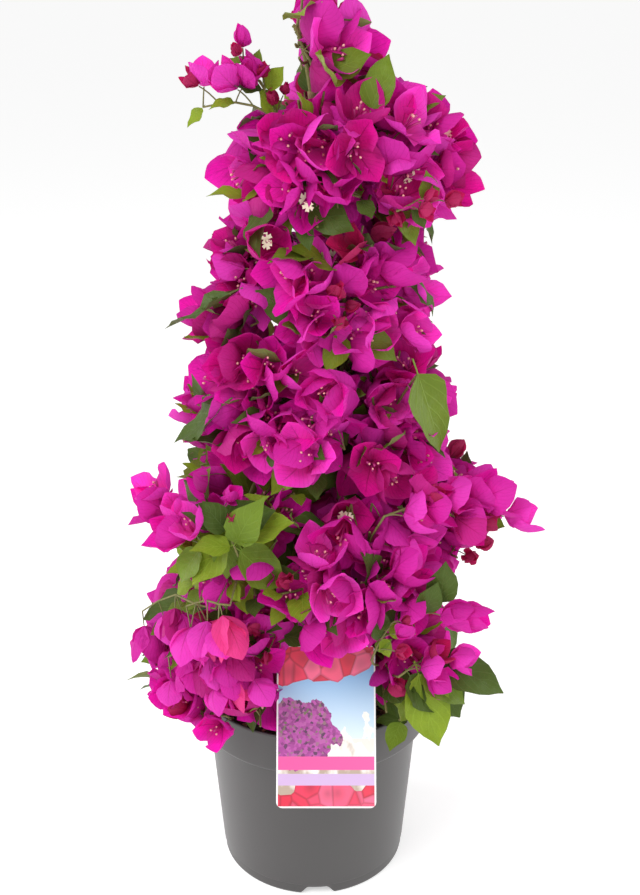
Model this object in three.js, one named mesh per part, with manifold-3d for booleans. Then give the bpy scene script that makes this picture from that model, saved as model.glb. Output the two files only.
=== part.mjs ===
// A flowering bougainvillea bush trained as a column in a round nursery pot, with its hanging card.
// Millimetres, +Z up. The origin is the centre of the pot's foot, on the surface it stands on,
// and -Y is the side with the card.
import * as THREE from 'three';
import { mergeVertices } from 'three/addons/utils/BufferGeometryUtils.js';
import Module from 'manifold-3d';

const wasm = await Module();
wasm.setup();

// Driving dimensions.
const clearance = 0.3;         // between solids that meet
const potHeight = 147;
const rimRadius = 85.8;
const collarDepth = 32.5;      // the wide band round the pot's mouth
const shoulderRadius = 76.6;   // the body just under the collar
const footRadius = 67.5;
const footHeight = 8.8;
const potWall = 2;
const potFloor = 8;            // height of the floor's upper face
const soilTop = 137;

const card = {
  width: 66, length: 106, thick: 0.9, corner: 4, across: 9.3, topFront: 57, topHeight: 202, lean: 31,
};
const peg = { width: 5, thick: 2.4, bossRadius: 4.2, depthInSoil: 40, proud: 5 };

// The crown's outline: height, then how far it reaches to the left and to the right of the pot's axis.
const outline = [
  [120, 98, 104], [137, 116, 122], [155, 130, 138], [183, 141, 118], [210, 121, 117],
  [236, 121, 122], [262, 131, 145], [300, 112, 129], [318, 96, 102], [345, 102, 102], [385, 84, 95],
  [415, 90, 85], [445, 66, 82], [470, 74, 80], [490, 71, 101], [530, 54, 102], [548, 80, 88],
  [570, 84, 54], [595, 54, 34], [613, 42, 24],
];
const depthShare = 0.92;       // the crown's reach to front and back, beside its mean reach to the sides

// The stems that rise from the soil. Each path runs from the soil to the tip.
const stems = {
  trunk: {
    path: [[8, 4, soilTop + clearance], [22, 2, 190], [25, 4, 250], [14, 6, 350], [10, 2, 450], [0, 0, 556]],
    foot: 9, root: 6.6, tip: 2.4,
  },
  stem_right: {
    path: [[34, -6, soilTop + clearance], [46, -12, 200], [46, -14, 260], [40, -16, 318]],
    foot: 5.5, root: 4, tip: 2.2,
  },
  stem_left: {
    path: [[-24, 8, soilTop + clearance], [-34, 8, 200], [-38, 4, 260], [-36, 0, 318]],
    foot: 5.5, root: 3.8, tip: 2,
  },
};

// Tiers of foliage from the top down. turn is the bearing of the first mass, in degrees from the
// right-hand side, and last that of the last one where they don't go all the way round. lift is how
// far the shoots' ends rise from level, in degrees; leafy gives, for each mass in turn, the share of
// its shoots that bear only leaves.
const tiers = [
  { height: 590, away: 0, depth: 44, turn: 200, sprays: 8, lift: [10, 85], leafy: [0.1] },
  { height: 530, away: 42, depth: 84, turn: 350, sprays: 9, lift: [-20, 60], leafy: [0.1, 0.2, 0.25] },
  { height: 446, away: 46, depth: 88, turn: 290, sprays: 9, lift: [-25, 50], leafy: [0.1, 0.25, 0.25] },
  {
    height: 360, away: 54, depth: 90, turn: 335, sprays: 9, lift: [-25, 50],
    leafy: [0.2, 0.25, 0.25, 0.1],
  },
  {
    height: 276, away: 70, depth: 84, turn: 0, sprays: 9, lift: [-30, 50],
    leafy: [0.05, 0.3, 0.25, 0.8, 0.1],
  },
  {
    height: 198, away: 78, depth: 80, turn: 318, sprays: 9, lift: [-35, 40],
    leafy: [0.3, 0.3, 0.3, 0.2, 0.1],
  },
  {
    height: 143, away: 106, depth: 46, turn: 318, last: 225, sprays: 7, lift: [-70, -10],
    leafy: [0.9, 0.7, 0.4, 0.1, 0.1],
  },
];
const stagger = 11;            // every second mass of a tier stands this much higher, the others lower

// The largest leaves, each from the end of its stalk to its tip, with its width.
const showLeaves = [
  { stalk: [36, -22, 540], tip: [52, -30, 572], width: 22 },
  { stalk: [-44, -20, 436], tip: [-86, -30, 418], width: 17 },
  { stalk: [54, -30, 448], tip: [76, -36, 428], width: 20 },
  { stalk: [62, -34, 394], tip: [88, -48, 332], width: 34 },
  { stalk: [-48, -32, 396], tip: [-84, -46, 358], width: 34 },
  { stalk: [-84, -42, 268], tip: [-113, -60, 246], width: 30 },
  { stalk: [80, -56, 197], tip: [122, -64, 192], width: 26 },
  { stalk: [86, -76, 168], tip: [99, -88, 132], width: 30 },
  { stalk: [50, -104, 165], tip: [82, -114, 126], width: 38 },
  { stalk: [88, 46, 158], tip: [116, 60, 122], width: 32 },
];

const bract = { length: 37, width: 34, thick: 1.2, cup: 0.08, open: 50 };
// The lowest masses hang, with smaller, slimmer and closer blades.
const hanging = { row: 6, size: 0.78, slim: 0.84, open: 45 };
const leaf = { length: 44, width: 28, thick: 1.2, cup: 0.12 };
const widestAt = 0.42;         // where a blade is widest, as a share of its length
const twig = { root: 1.1, tip: 0.9 };

// Small vector helpers on plain arrays.
const add = (a, b, s = 1) => a.map((v, i) => v + s * b[i]);
const sub = (a, b) => add(a, b, -1);
const scaled = (a, s) => a.map((v) => v * s);
const dot = (a, b) => a[0] * b[0] + a[1] * b[1] + a[2] * b[2];
const cross = (a, b) => [a[1] * b[2] - a[2] * b[1], a[2] * b[0] - a[0] * b[2], a[0] * b[1] - a[1] * b[0]];
const unit = (a) => scaled(a, 1 / Math.hypot(...a));
const mix = (a, b, t) => add(scaled(a, 1 - t), b, t);
const radians = (degrees) => degrees * Math.PI / 180;
const bearingVector = (degrees) => [Math.cos(radians(degrees)), Math.sin(radians(degrees)), 0];

// A repeatable stream of numbers from 0 to 1.
function seeded(seed) {
  let state = seed >>> 0;
  return () => {
    state = (Math.imul(state, 1664525) + 1013904223) >>> 0;
    return state / 4294967296;
  };
}

// ---- Solids ----

function solidFrom(geometry) {
  geometry.deleteAttribute('normal');
  geometry.deleteAttribute('uv');
  const merged = mergeVertices(geometry, 1e-4);
  return new wasm.Manifold(new wasm.Mesh({
    numProp: 3,
    vertProperties: new Float32Array(merged.attributes.position.array),
    triVerts: new Uint32Array(merged.index.array),
  }));
}

function solidFromFaces(points, faces) {
  const geometry = new THREE.BufferGeometry();
  geometry.setAttribute('position', new THREE.Float32BufferAttribute(points.flat(), 3));
  geometry.setIndex(faces.flat());
  return solidFrom(geometry);
}

function geometryFrom(solid) {
  const mesh = solid.getMesh();
  const geometry = new THREE.BufferGeometry();
  geometry.setAttribute('position', new THREE.BufferAttribute(new Float32Array(mesh.vertProperties), 3));
  geometry.setIndex(new THREE.BufferAttribute(new Uint32Array(mesh.triVerts), 1));
  geometry.computeVertexNormals();
  return geometry;
}

// A closed limb through a list of points, with its radius at each. A level foot is cut flat.
function limbSolid(points, radii, sides, levelFoot = false) {
  const corners = [];
  const faces = [];
  let across = null;
  points.forEach((point, i) => {
    const along = unit(sub(points[Math.min(i + 1, points.length - 1)], points[Math.max(i - 1, 0)]));
    const normal = levelFoot && i === 0 ? [0, 0, 1] : along;
    const hint = across ?? (Math.abs(normal[2]) < 0.8 ? [0, 0, 1] : [1, 0, 0]);
    across = unit(sub(hint, scaled(normal, dot(hint, normal))));
    const other = cross(normal, across);
    for (let k = 0; k < sides; k++) {
      const angle = 2 * Math.PI * k / sides;
      const spoke = add(scaled(across, Math.cos(angle)), other, Math.sin(angle));
      corners.push(add(point, spoke, radii[i]));
    }
  });
  for (let i = 0; i + 1 < points.length; i++) {
    for (let k = 0; k < sides; k++) {
      const a = i * sides + k;
      const b = i * sides + (k + 1) % sides;
      faces.push([a, b, b + sides], [a, b + sides, a + sides]);
    }
  }
  const last = (points.length - 1) * sides;
  for (let k = 1; k + 1 < sides; k++) {
    faces.push([0, k + 1, k], [last, last + k, last + k + 1]);
  }
  return solidFromFaces(corners, faces);
}

// ---- The pot, its soil, and the card on its peg ----

const potSegments = 24;
const collarBase = potHeight - collarDepth;
const bodySlope = (shoulderRadius - footRadius - 0.6) / (collarBase - footHeight);
const innerFoot = footRadius - potWall;
const innerShoulder = shoulderRadius - potWall;
const innerRim = rimRadius - potWall;

function innerRadiusAt(height) {
  return innerFoot + bodySlope * (height - potFloor);
}

function potSolid() {
  const profile = [
    [0, 0], [footRadius, 0], [footRadius + 0.9, footHeight], [shoulderRadius, collarBase],
    [rimRadius - 0.6, collarBase + 1], [rimRadius, potHeight], [innerRim, potHeight],
    [innerRim - 0.4, collarBase + 2.5], [innerShoulder, collarBase - 1],
    [innerRadiusAt(potFloor), potFloor], [0, potFloor],
  ];
  const lathe = new THREE.LatheGeometry(profile.map(([r, z]) => new THREE.Vector2(r, z)), potSegments);
  return solidFrom(lathe.rotateX(Math.PI / 2));
}

// The card leans back over the rim; its frame is across, up along the card, and out of its face.
const cardUp = [0, Math.sin(radians(card.lean)), Math.cos(radians(card.lean))];
const cardFace = [0, -Math.cos(radians(card.lean)), Math.sin(radians(card.lean))];
const cardTop = [card.across, -card.topFront, card.topHeight];

function cardPlaced(geometry) {
  const frame = new THREE.Matrix4().makeBasis(
    new THREE.Vector3(1, 0, 0), new THREE.Vector3(...cardUp), new THREE.Vector3(...cardFace));
  frame.setPosition(...cardTop);
  return geometry.applyMatrix4(frame);
}

function cardSolid() {
  const { width, length, corner, thick } = card;
  const half = width / 2;
  const shape = new THREE.Shape();
  shape.moveTo(-half + corner, -length);
  shape.lineTo(half - corner, -length);
  shape.absarc(half - corner, corner - length, corner, -Math.PI / 2, 0);
  shape.lineTo(half, -corner);
  shape.absarc(half - corner, -corner, corner, 0, Math.PI / 2);
  shape.lineTo(-half + corner, 0);
  shape.absarc(-half + corner, -corner, corner, Math.PI / 2, Math.PI);
  shape.lineTo(-half, corner - length);
  shape.absarc(-half + corner, corner - length, corner, Math.PI, 1.5 * Math.PI);
  const sheet = new THREE.ExtrudeGeometry(shape, { depth: thick, bevelEnabled: false, curveSegments: 3 });
  return solidFrom(cardPlaced(sheet));
}

// The peg stands in the soil close behind the card, and its boss comes forward through the card.
const pegBossDown = 8;         // the boss below the card's top edge
const bossStart = -6.4;        // the boss's back end, measured along the card's facing
const bossCentre = add(cardTop, cardUp, -pegBossDown);

function pegSolid(grow = 0) {
  const boss = new THREE.CylinderGeometry(peg.bossRadius, peg.bossRadius, card.thick + 1 - bossStart, 12);
  boss.rotateX(Math.PI / 2).translate(0, -pegBossDown, (card.thick + 1 + bossStart) / 2);
  const head = solidFrom(cardPlaced(boss));
  const back = cardTop[1] + 1.2 * clearance;
  const top = bossCentre[2] + pegBossDown + peg.proud;
  const bottom = soilTop - peg.depthInSoil;
  const blade = new THREE.BoxGeometry(peg.width + 2 * grow, peg.thick + 2 * grow, top - bottom + 2 * grow);
  blade.translate(card.across, back + peg.thick / 2, (top + bottom) / 2);
  return grow ? solidFrom(blade) : solidFrom(blade).add(head);
}

function pegHole() {
  const hole = new THREE.CylinderGeometry(peg.bossRadius + clearance, peg.bossRadius + clearance, 8, 12);
  hole.rotateX(Math.PI / 2).translate(0, -pegBossDown, 0);
  return solidFrom(cardPlaced(hole));
}

function soilSolid() {
  const bottom = potFloor + clearance;
  const profile = [
    [0, bottom], [innerRadiusAt(bottom) - clearance - 0.2, bottom],
    [innerShoulder - clearance - 0.2, collarBase - 0.5],
    [innerRim - 0.8 - clearance, collarBase + 3], [innerRim - 0.8 - clearance, soilTop], [0, soilTop],
  ];
  const lathe = new THREE.LatheGeometry(profile.map(([r, z]) => new THREE.Vector2(r, z)), potSegments);
  return solidFrom(lathe.rotateX(Math.PI / 2)).subtract(pegSolid(clearance));
}

// ---- Stems and boughs ----

function smoothPath(points, steps) {
  const curve = new THREE.CatmullRomCurve3(points.map((p) => new THREE.Vector3(...p)));
  return curve.getPoints(steps).map((p) => p.toArray());
}

// A limb is its points along the middle, and its radius at each.
function stemLimb({ path, foot, root, tip }) {
  const steps = Math.round((path.at(-1)[2] - path[0][2]) / 28);
  const points = smoothPath(path, steps);
  const radii = points.map((p, i) => (i === 0 ? foot : root + (tip - root) * i / steps));
  return { points, radii };
}

const stemLimbs = Object.fromEntries(Object.entries(stems).map(([name, stem]) => [name, stemLimb(stem)]));

const stemSides = 9;

// The place on a limb at a height: its middle, and its radius there.
function limbAtHeight({ points, radii }, height) {
  let i = 0;
  while (i < points.length - 2 && points[i + 1][2] < height) {
    i += 1;
  }
  const t = (height - points[i][2]) / (points[i + 1][2] - points[i][2]);
  return { point: mix(points[i], points[i + 1], t), radius: radii[i] + (radii[i + 1] - radii[i]) * t };
}

// ---- The crown's spaces ----

function reachAt(height) {
  let i = 0;
  while (i < outline.length - 2 && outline[i + 1][0] < height) {
    i += 1;
  }
  const t = (height - outline[i][0]) / (outline[i + 1][0] - outline[i][0]);
  const [, left, right] = mix(outline[i], outline[i + 1], t);
  const half = (left + right) / 2;
  return { middle: (right - left) / 2, across: half, deep: half * depthShare };
}

const masses = tiers.flatMap((tier, row) => tier.leafy.map((leafy, k) => {
  const sweep = tier.last === undefined
    ? 360 / tier.leafy.length
    : (tier.last - tier.turn + 360) % 360 / (tier.leafy.length - 1);
  const bearing = tier.turn + k * sweep;
  const height = tier.height + (tier.leafy.length > 1 && !tier.last ? stagger * (k % 2 ? 1 : -1) : 0);
  return {
    ...tier, name: `foliage_${row + 1}_${k + 1}`, row, height, leafy, bearing, sweep,
    centre: add([reachAt(height).middle, 0, height], bearingVector(bearing), tier.away),
    seed: 1000 * (row + 1) + 43 * (k + 1),
  };
}));

// Each mass keeps to the points that are nearer to its centre than to any other centre.
const halfGap = 1.6;
function inOwnSpace(point, mass) {
  return masses.every((other) => {
    const between = sub(other.centre, mass.centre);
    return other === mass || dot(sub(mix(mass.centre, other.centre, 0.5), point), unit(between)) > halfGap;
  });
}

function inOutline(point) {
  if (point[2] > outline.at(-1)[0] || point[2] < outline[0][0]) {
    return false;
  }
  const { middle, across, deep } = reachAt(point[2]);
  return ((point[0] - middle) / across) ** 2 + (point[1] / deep) ** 2 < 1;
}

function clearOfPotAndCard(point) {
  const potRoom = 3;
  const cardRoom = 7;
  const outward = Math.hypot(point[0], point[1]);
  if (point[2] < potHeight + potRoom && outward < rimRadius + potRoom) {
    return false;
  }
  const beside = Math.abs(point[0] - card.across) > card.width / 2 + cardRoom;
  const above = point[2] > card.topHeight + peg.proud + cardRoom;
  return beside || above || dot(sub(point, cardTop), cardFace) < -cardRoom - peg.thick;
}

const isFree = (point, mass) => inOwnSpace(point, mass) && inOutline(point) && clearOfPotAndCard(point);

// ---- Boughs ----

// The lowest masses hang from boughs that arch over the rim, and those of the wide tiers have rising
// ones, except two that crown the side stems. boughShare is how far a rising bough runs to its mass.
const boughShare = { 3: 0.4, 4: 0.5, 5: 0.5, 6: 0 };
const crownOf = { foliage_4_1: 'stem_right', foliage_4_3: 'stem_left' };
const bough = { root: 3, tip: 1.9, drop: 18, low: 8, arch: 20 };

function nearestStem(mass, height) {
  const reaching = Object.values(stemLimbs).filter((limb) => limb.points.at(-1)[2] > height + 4);
  const distance = (limb) => {
    const { point } = limbAtHeight(limb, height);
    return Math.hypot(point[0] - mass.centre[0], point[1] - mass.centre[1]);
  };
  return reaching.reduce((best, limb) => (distance(limb) < distance(best) ? limb : best));
}

function boughLimb(mass) {
  const hangs = mass.row === hanging.row;
  const height = hangs ? soilTop + bough.low : mass.height - bough.drop;
  const { point: start } = limbAtHeight(nearestStem(mass, height), height);
  const tip = hangs
    ? add([0, 0, potHeight + 8], bearingVector(mass.bearing), rimRadius + 13)
    : mix([start[0], start[1], mass.height - 6], mass.centre, boughShare[mass.row]);
  const bend = hangs ? add(mix(start, tip, 0.6), [0, 0, bough.arch]) : add(mix(start, tip, 0.5), [0, 0, -4]);
  const steps = hangs ? 6 : 3;
  const points = [];
  for (let i = 0; i <= steps; i++) {
    const t = i / steps;
    points.push(mix(mix(start, bend, t), mix(bend, tip, t), t));
  }
  return { points, radii: points.map((p, i) => bough.root + (bough.tip - bough.root) * i / steps) };
}

const boughName = (mass) => mass.name.replace('foliage', 'bough');
const boughLimbs = Object.fromEntries(masses
  .filter(({ row, name }) => row in boughShare && !(name in crownOf))
  .map((mass) => [boughName(mass), boughLimb(mass)]));

// Points along every limb, close together, for keeping blades and twigs off them.
const limbBeads = [...Object.values(stemLimbs), ...Object.values(boughLimbs)].flatMap(({ points, radii }) =>
  points.slice(1).flatMap((point, i) => {
    const count = Math.ceil(Math.hypot(...sub(point, points[i])) / 3);
    return Array.from({ length: count + 1 }, (_, k) => ({
      at: mix(points[i], point, k / count),
      radius: radii[i] + (radii[i + 1] - radii[i]) * k / count,
    }));
  }));

// ---- Twigs, leaves and bracts ----

// A blade is a leaf or a bract: a kite with a ridge, cupped towards its upper face.
function blade(root, along, face, size, length = size.length, width = size.width) {
  const upper = unit(sub(face, scaled(along, dot(face, along))));
  const side = cross(upper, along);
  const middle = add(root, along, widestAt * length);
  const raised = add(middle, upper, size.cup * width);
  const tip = add(add(root, along, length), upper, -0.06 * length);
  const left = add(raised, side, width / 2);
  const right = add(raised, side, -width / 2);
  const start = mix(root, middle, 0.12);
  return {
    root, along, upper, side, length, width, middle,
    corners: [tip, left, right, add(middle, upper, size.thick / 2), add(middle, upper, -size.thick / 2)],
    marks: [tip, left, right, middle, mix(tip, left, 0.5), mix(tip, right, 0.5), mix(root, left, 0.6),
      mix(root, right, 0.6), mix(tip, middle, 0.5)],
    edges: [[start, left], [left, tip], [tip, right], [right, start], [start, middle], [middle, tip]],
    panes: [[root, left, middle], [left, tip, middle], [tip, right, middle], [right, root, middle]],
  };
}

// Whether the line from p to q goes through the triangle a, b, c.
function pierces([p, q], [a, b, c]) {
  const way = sub(q, p);
  const one = sub(b, a);
  const two = sub(c, a);
  const normal = cross(way, two);
  const scale = dot(one, normal);
  if (Math.abs(scale) < 1e-9) {
    return false;
  }
  const from = sub(p, a);
  const u = dot(from, normal) / scale;
  const turned = cross(from, one);
  const v = dot(way, turned) / scale;
  const t = dot(two, turned) / scale;
  return u >= 0 && v >= 0 && u + v <= 1 && t >= 0 && t <= 1;
}

function blocks(shape, lines) {
  return lines.some((line) => shape.panes.some((pane) => pierces(line, pane)));
}

function bladesCross(one, other) {
  const far = Math.hypot(...sub(one.middle, other.middle)) > (one.length + other.length) * 0.8;
  return !far && (blocks(one, other.edges) || blocks(other, one.edges));
}

// The faces of a blade that grows out of the triangle a, b, d; its corners start at number first.
function bladeFaces(a, b, d, first) {
  const [tip, left, right, top, under] = [0, 1, 2, 3, 4].map((k) => first + k);
  return [
    [a, right, d], [right, top, d], [right, tip, top], [top, tip, left], [top, left, d], [left, b, d],
    [a, under, right], [right, under, tip], [under, left, tip], [under, b, left], [a, b, under],
  ];
}

const levelHint = (axis) => (Math.abs(axis[2]) < 0.9 ? [0, 0, 1] : [1, 0, 0]);

function spokesRound(axis, roll, hint = levelHint(axis)) {
  const across = unit(cross(axis, hint));
  const other = cross(axis, across);
  return [0, 1, 2].map((k) => {
    const angle = roll + k * 2 * Math.PI / 3;
    return add(scaled(across, Math.cos(angle)), other, Math.sin(angle));
  });
}

// A blade that stands open from the axis of its tuft, by an angle in degrees.
function openBlade(at, axis, spoke, degrees, size, length) {
  const open = radians(degrees);
  const along = add(scaled(axis, Math.cos(open)), spoke, Math.sin(open));
  const inner = add(scaled(axis, Math.sin(open)), spoke, -Math.cos(open));
  return blade(at, along, inner, size, length, length * size.width / size.length);
}

// A spray is a three-sided twig with three blades at its end, and perhaps a leaf at its middle.
// The blades grow straight out of the twig's own faces, so each spray is one closed solid.
function spraySolid({ points, axis, spokes, tuft, sideLeaf }) {
  const [from, bend, end] = points;
  const leafRoom = 3;
  const middle = (twig.root + twig.tip) / 2;
  const middles = sideLeaf ? [from, bend, add(bend, unit(sub(end, bend)), leafRoom), end] : points;
  const thick = sideLeaf ? [twig.root, middle, middle, twig.tip] : [twig.root, middle, twig.tip];
  const last = middles.length - 1;
  const corners = [];
  let across = scaled(spokes[1], -1);
  for (let i = last; i >= 0; i--) {
    const along = i === last ? axis : unit(sub(middles[i + 1], middles[Math.max(i - 1, 0)]));
    across = unit(sub(across, scaled(along, dot(across, along))));
    const other = cross(along, across);
    for (let k = 0; k < 3; k++) {
      const angle = 2 * Math.PI * k / 3;
      const spoke = add(scaled(across, Math.cos(angle)), other, Math.sin(angle));
      corners[3 * i + k] = add(middles[i], spoke, thick[i]);
    }
  }
  const faces = [[0, 2, 1]];
  const behind = (k) => dot(sub(corners[3 + (k + 2) % 3], bend), sideLeaf.along);
  const leafSide = sideLeaf ? [0, 1, 2].reduce((best, k) => (behind(k) < behind(best) ? k : best), 0) : -1;
  for (let i = 0; i < last; i++) {
    for (let k = 0; k < 3; k++) {
      const a = 3 * i + k;
      const b = 3 * i + (k + 1) % 3;
      faces.push([a, b + 3, a + 3]);
      if (i === 1 && k === leafSide) {
        faces.push(...bladeFaces(a, b, b + 3, corners.length));
        corners.push(...sideLeaf.corners);
      } else {
        faces.push([a, b, b + 3]);
      }
    }
  }
  const apex = corners.length;
  corners.push(add(end, axis, 2 * twig.tip));
  for (let k = 0; k < 3; k++) {
    const a = 3 * last + k;
    const b = 3 * last + (k + 1) % 3;
    if (tuft[k]) {
      faces.push(...bladeFaces(a, b, apex, corners.length));
      corners.push(...tuft[k].corners);
    } else {
      faces.push([a, b, apex]);
    }
  }
  return solidFromFaces(corners, faces);
}

function bladeIsFree(shape, mass, beads) {
  const room = 1.4;
  const tall = 0.3 * shape.width;
  return shape.marks.every((point) => isFree(point, mass)) && beads.every(({ at, radius }) => {
    const from = sub(at, shape.root);
    const near = radius + room;
    const along = dot(from, shape.along);
    return along < -near || along > shape.length + near
      || Math.abs(dot(from, shape.side)) > shape.width / 2 + near
      || Math.abs(dot(from, shape.upper)) > tall + near;
  });
}

function twigMarks([from, bend, end]) {
  return [mix(from, bend, 0.5), bend, mix(bend, end, 0.5)];
}

function twigIsFree(points, mass, beads) {
  const room = 2.4;
  return [...twigMarks(points), points[2]].every((point) => isFree(point, mass)
    && beads.every(({ at, radius }) => Math.hypot(...sub(point, at)) > radius + room));
}

// The stem of a mass runs from its bough's tip, or from the side of the trunk, through its centre.
function massStem(mass) {
  const limb = boughLimbs[boughName(mass)] ?? stemLimbs[crownOf[mass.name]];
  if (limb) {
    const tip = limb.points.at(-1);
    const onward = unit(sub(tip, limb.points.at(-2)));
    return [add(tip, onward, clearance), add(tip, onward, 8), mix(tip, mass.centre, 0.9)];
  }
  const trunkTip = stemLimbs.trunk.points.at(-1);
  if (mass.row === 0) {
    const upward = [0, 0, 1];
    return [add(trunkTip, upward, clearance), add(trunkTip, upward, 16), add(mass.centre, upward, 4)];
  }
  const { point } = limbAtHeight(stemLimbs.trunk, mass.height - 10);
  return [point, mix(point, mass.centre, 0.35), mass.centre];
}

const outerShare = 0.78;       // shoots that end at the crown's surface; the rest end inside it
const tryMost = 3000;
const behindCard = { past: 14, further: 46 };   // shoots behind the card end further in
const leastReach = 6;          // from the middle of the crown to the end of a shoot
const apart = 3;               // the least room between the marks of one spray and those of the next
const rootsFrom = 0.1;         // the shoots' roots are spread evenly over this stretch of the stem
const rootsTo = 0.96;

function growMass(mass) {
  const rand = seeded(mass.seed);
  const hangs = mass.row === hanging.row;
  const stem = massStem(mass);
  const beads = limbBeads.filter(({ at }) => Math.hypot(...sub(at, mass.centre)) < 110);
  const sprays = [];
  const marks = [];
  const blades = [];
  const twigs = [];
  const isApart = (points) => points.every((p) => marks.every((q) => Math.hypot(...sub(p, q)) > apart));
  const keep = (points, shapes) => {
    twigs.push([points[0], points[1]], [points[1], points[2]]);
    blades.push(...shapes);
    marks.push(...shapes.flatMap((shape) => shape.marks));
  };

  for (const { stalk, tip, width } of showLeaves) {
    const axis = unit(sub(tip, stalk));
    const face = [0.5 * axis[0], axis[1] - 0.6, 1];
    const shape = blade(stalk, axis, face, leaf, Math.hypot(...sub(tip, stalk)), width);
    const spokes = spokesRound(axis, 0, cross(axis, shape.upper));
    if (![stalk, ...shape.marks].every((point) => inOwnSpace(point, mass))) {
      continue;
    }
    const from = mix(stem[1], stem[2], 0.5);
    const points = [from, add(mix(from, stalk, 0.5), [0, 0, 3]), stalk];
    sprays.push({ points, axis, spokes, tuft: [shape, null, null], sideLeaf: null, kind: 'show' });
    keep(points, [shape]);
  }

  const taken = new Set();
  for (let tries = 0; tries < tryMost; tries++) {
    const place = tries % mass.sprays;
    if (taken.has(place)) {
      continue;
    }
    const bearing = mass.bearing + (rand() - 0.5) * mass.sweep * 1.3;
    const height = mass.height + (rand() - 0.5) * mass.depth * 1.2;
    const inset = rand() < outerShare ? 12 + 8 * rand() : 28 + 24 * rand();
    const lift = mass.lift[0] + (mass.lift[1] - mass.lift[0]) * rand();
    const roll = 2 * Math.PI * rand();
    const size = (hangs ? hanging.size : 1) * bract.length * (0.85 + 0.25 * rand());
    const isLeafy = rand() < mass.leafy;
    const sideTurn = rand() < 0.5 ? 1 : -1;
    const sideSize = leaf.length * (0.7 + 0.3 * rand());
    const opening = (hangs ? hanging.open : bract.open) + (isLeafy ? 18 : 8) * rand();
    const { middle, across, deep } = reachAt(height);
    const out = bearingVector(bearing);
    const isBeside = Math.abs(out[0] * across - card.across) > card.width / 2 + behindCard.past;
    const isAbove = height > card.topHeight + behindCard.past;
    const depthIn = isBeside || isAbove || out[1] > 0 ? inset : inset + behindCard.further;
    const reach = [Math.max(across - depthIn, leastReach), Math.max(deep - depthIn, leastReach)];
    const end = [middle + out[0] * reach[0], out[1] * reach[1], height];
    const from = mix(stem[1], stem[2], rootsFrom + (rootsTo - rootsFrom) * place / mass.sprays);
    const points = [from, add(mix(from, end, 0.5), [0, 0, hangs ? 6 : -3]), end];
    const onward = unit(sub(end, points[1]));
    const lifted = add(scaled(out, Math.cos(radians(lift))), [0, 0, 1], Math.sin(radians(lift)));
    const axis = unit(mix(onward, lifted, 0.65));
    const spokes = spokesRound(axis, roll);
    const fits = (shape) => isApart(shape.marks) && bladeIsFree(shape, mass, beads)
      && !blocks(shape, twigs) && !blades.some((other) => bladesCross(shape, other));
    const petal = hangs ? { ...bract, width: bract.width * hanging.slim } : bract;
    const whole = spokes.map((spoke) => (isLeafy
      ? openBlade(end, axis, spoke, opening, leaf, leaf.length * size / bract.length)
      : openBlade(end, axis, spoke, opening, petal, size)));
    const sideways = unit(add(scaled(unit(cross(onward, [0, 0, 1])), sideTurn), onward, 0.5));
    const sideLeaf = blade(points[1], sideways, onward, leaf, sideSize, sideSize * leaf.width / leaf.length);
    const lines = [[mix(from, points[1], 0.3), points[1]], [points[1], end]];
    const isCrossed = blades.some((shape) => blocks(shape, lines));
    if (isCrossed || !isApart([end]) || !twigIsFree(points, mass, beads)) {
      continue;
    }
    const kept = whole.filter(fits).filter((shape, i, all) => !all.slice(0, i).some((other) => (
      bladesCross(shape, other))));
    const tuft = whole.map((shape) => (kept.includes(shape) ? shape : null));
    const fewest = tries < tryMost * 0.8 ? 2 : 1;
    if (kept.length < fewest) {
      continue;
    }
    const isLeafClear = fits(sideLeaf) && !kept.some((shape) => bladesCross(sideLeaf, shape));
    const keptLeaf = isLeafClear ? sideLeaf : null;
    sprays.push({ points, axis, spokes, tuft, sideLeaf: keptLeaf, kind: isLeafy ? 'leafy' : 'flower' });
    keep(points, keptLeaf ? [...kept, keptLeaf] : kept);
    taken.add(place);
  }
  return { stem, sprays };
}

function largestBody(solid) {
  return solid.decompose().reduce((best, body) => (body.volume() > best.volume() ? body : best));
}

// What grows from the side of a stem is cut clear of it.
const roomForStems = wasm.Manifold.union(Object.values(stemLimbs).map(({ points, radii }) =>
  limbSolid(points, radii.map((radius) => radius + clearance), stemSides, true)));

function boughSolid({ points, radii }) {
  return largestBody(limbSolid(points, radii, 6).subtract(roomForStems));
}

function massSolid(mass) {
  const { stem, sprays } = growMass(mass);
  const stalk = limbSolid(stem, [bough.tip, bough.tip, bough.tip * 0.8], 5).subtract(roomForStems);
  return largestBody(wasm.Manifold.union([stalk, ...sprays.map(spraySolid)]));
}

// ---- The assembly ----

const materials = {
  pot: new THREE.MeshStandardMaterial({ color: 0x605e5c, roughness: 0.5, metalness: 0 }),
  soil: new THREE.MeshStandardMaterial({ color: 0x2e2218, roughness: 0.95, metalness: 0 }),
  card: new THREE.MeshStandardMaterial({ color: 0xe9e4ea, roughness: 0.35, metalness: 0 }),
  peg: new THREE.MeshStandardMaterial({ color: 0x1f3b2b, roughness: 0.4, metalness: 0 }),
  bark: new THREE.MeshStandardMaterial({ color: 0x7a6038, roughness: 0.85, metalness: 0 }),
  bracts: new THREE.MeshStandardMaterial({ color: 0xd0159c, roughness: 0.6, metalness: 0 }),
  leaves: new THREE.MeshStandardMaterial({ color: 0x5d7a2c, roughness: 0.55, metalness: 0 }),
};

const bush = new THREE.Group();

function addNode(name, solid, material) {
  const mesh = new THREE.Mesh(geometryFrom(solid), material);
  mesh.name = name;
  bush.add(mesh);
}

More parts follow.
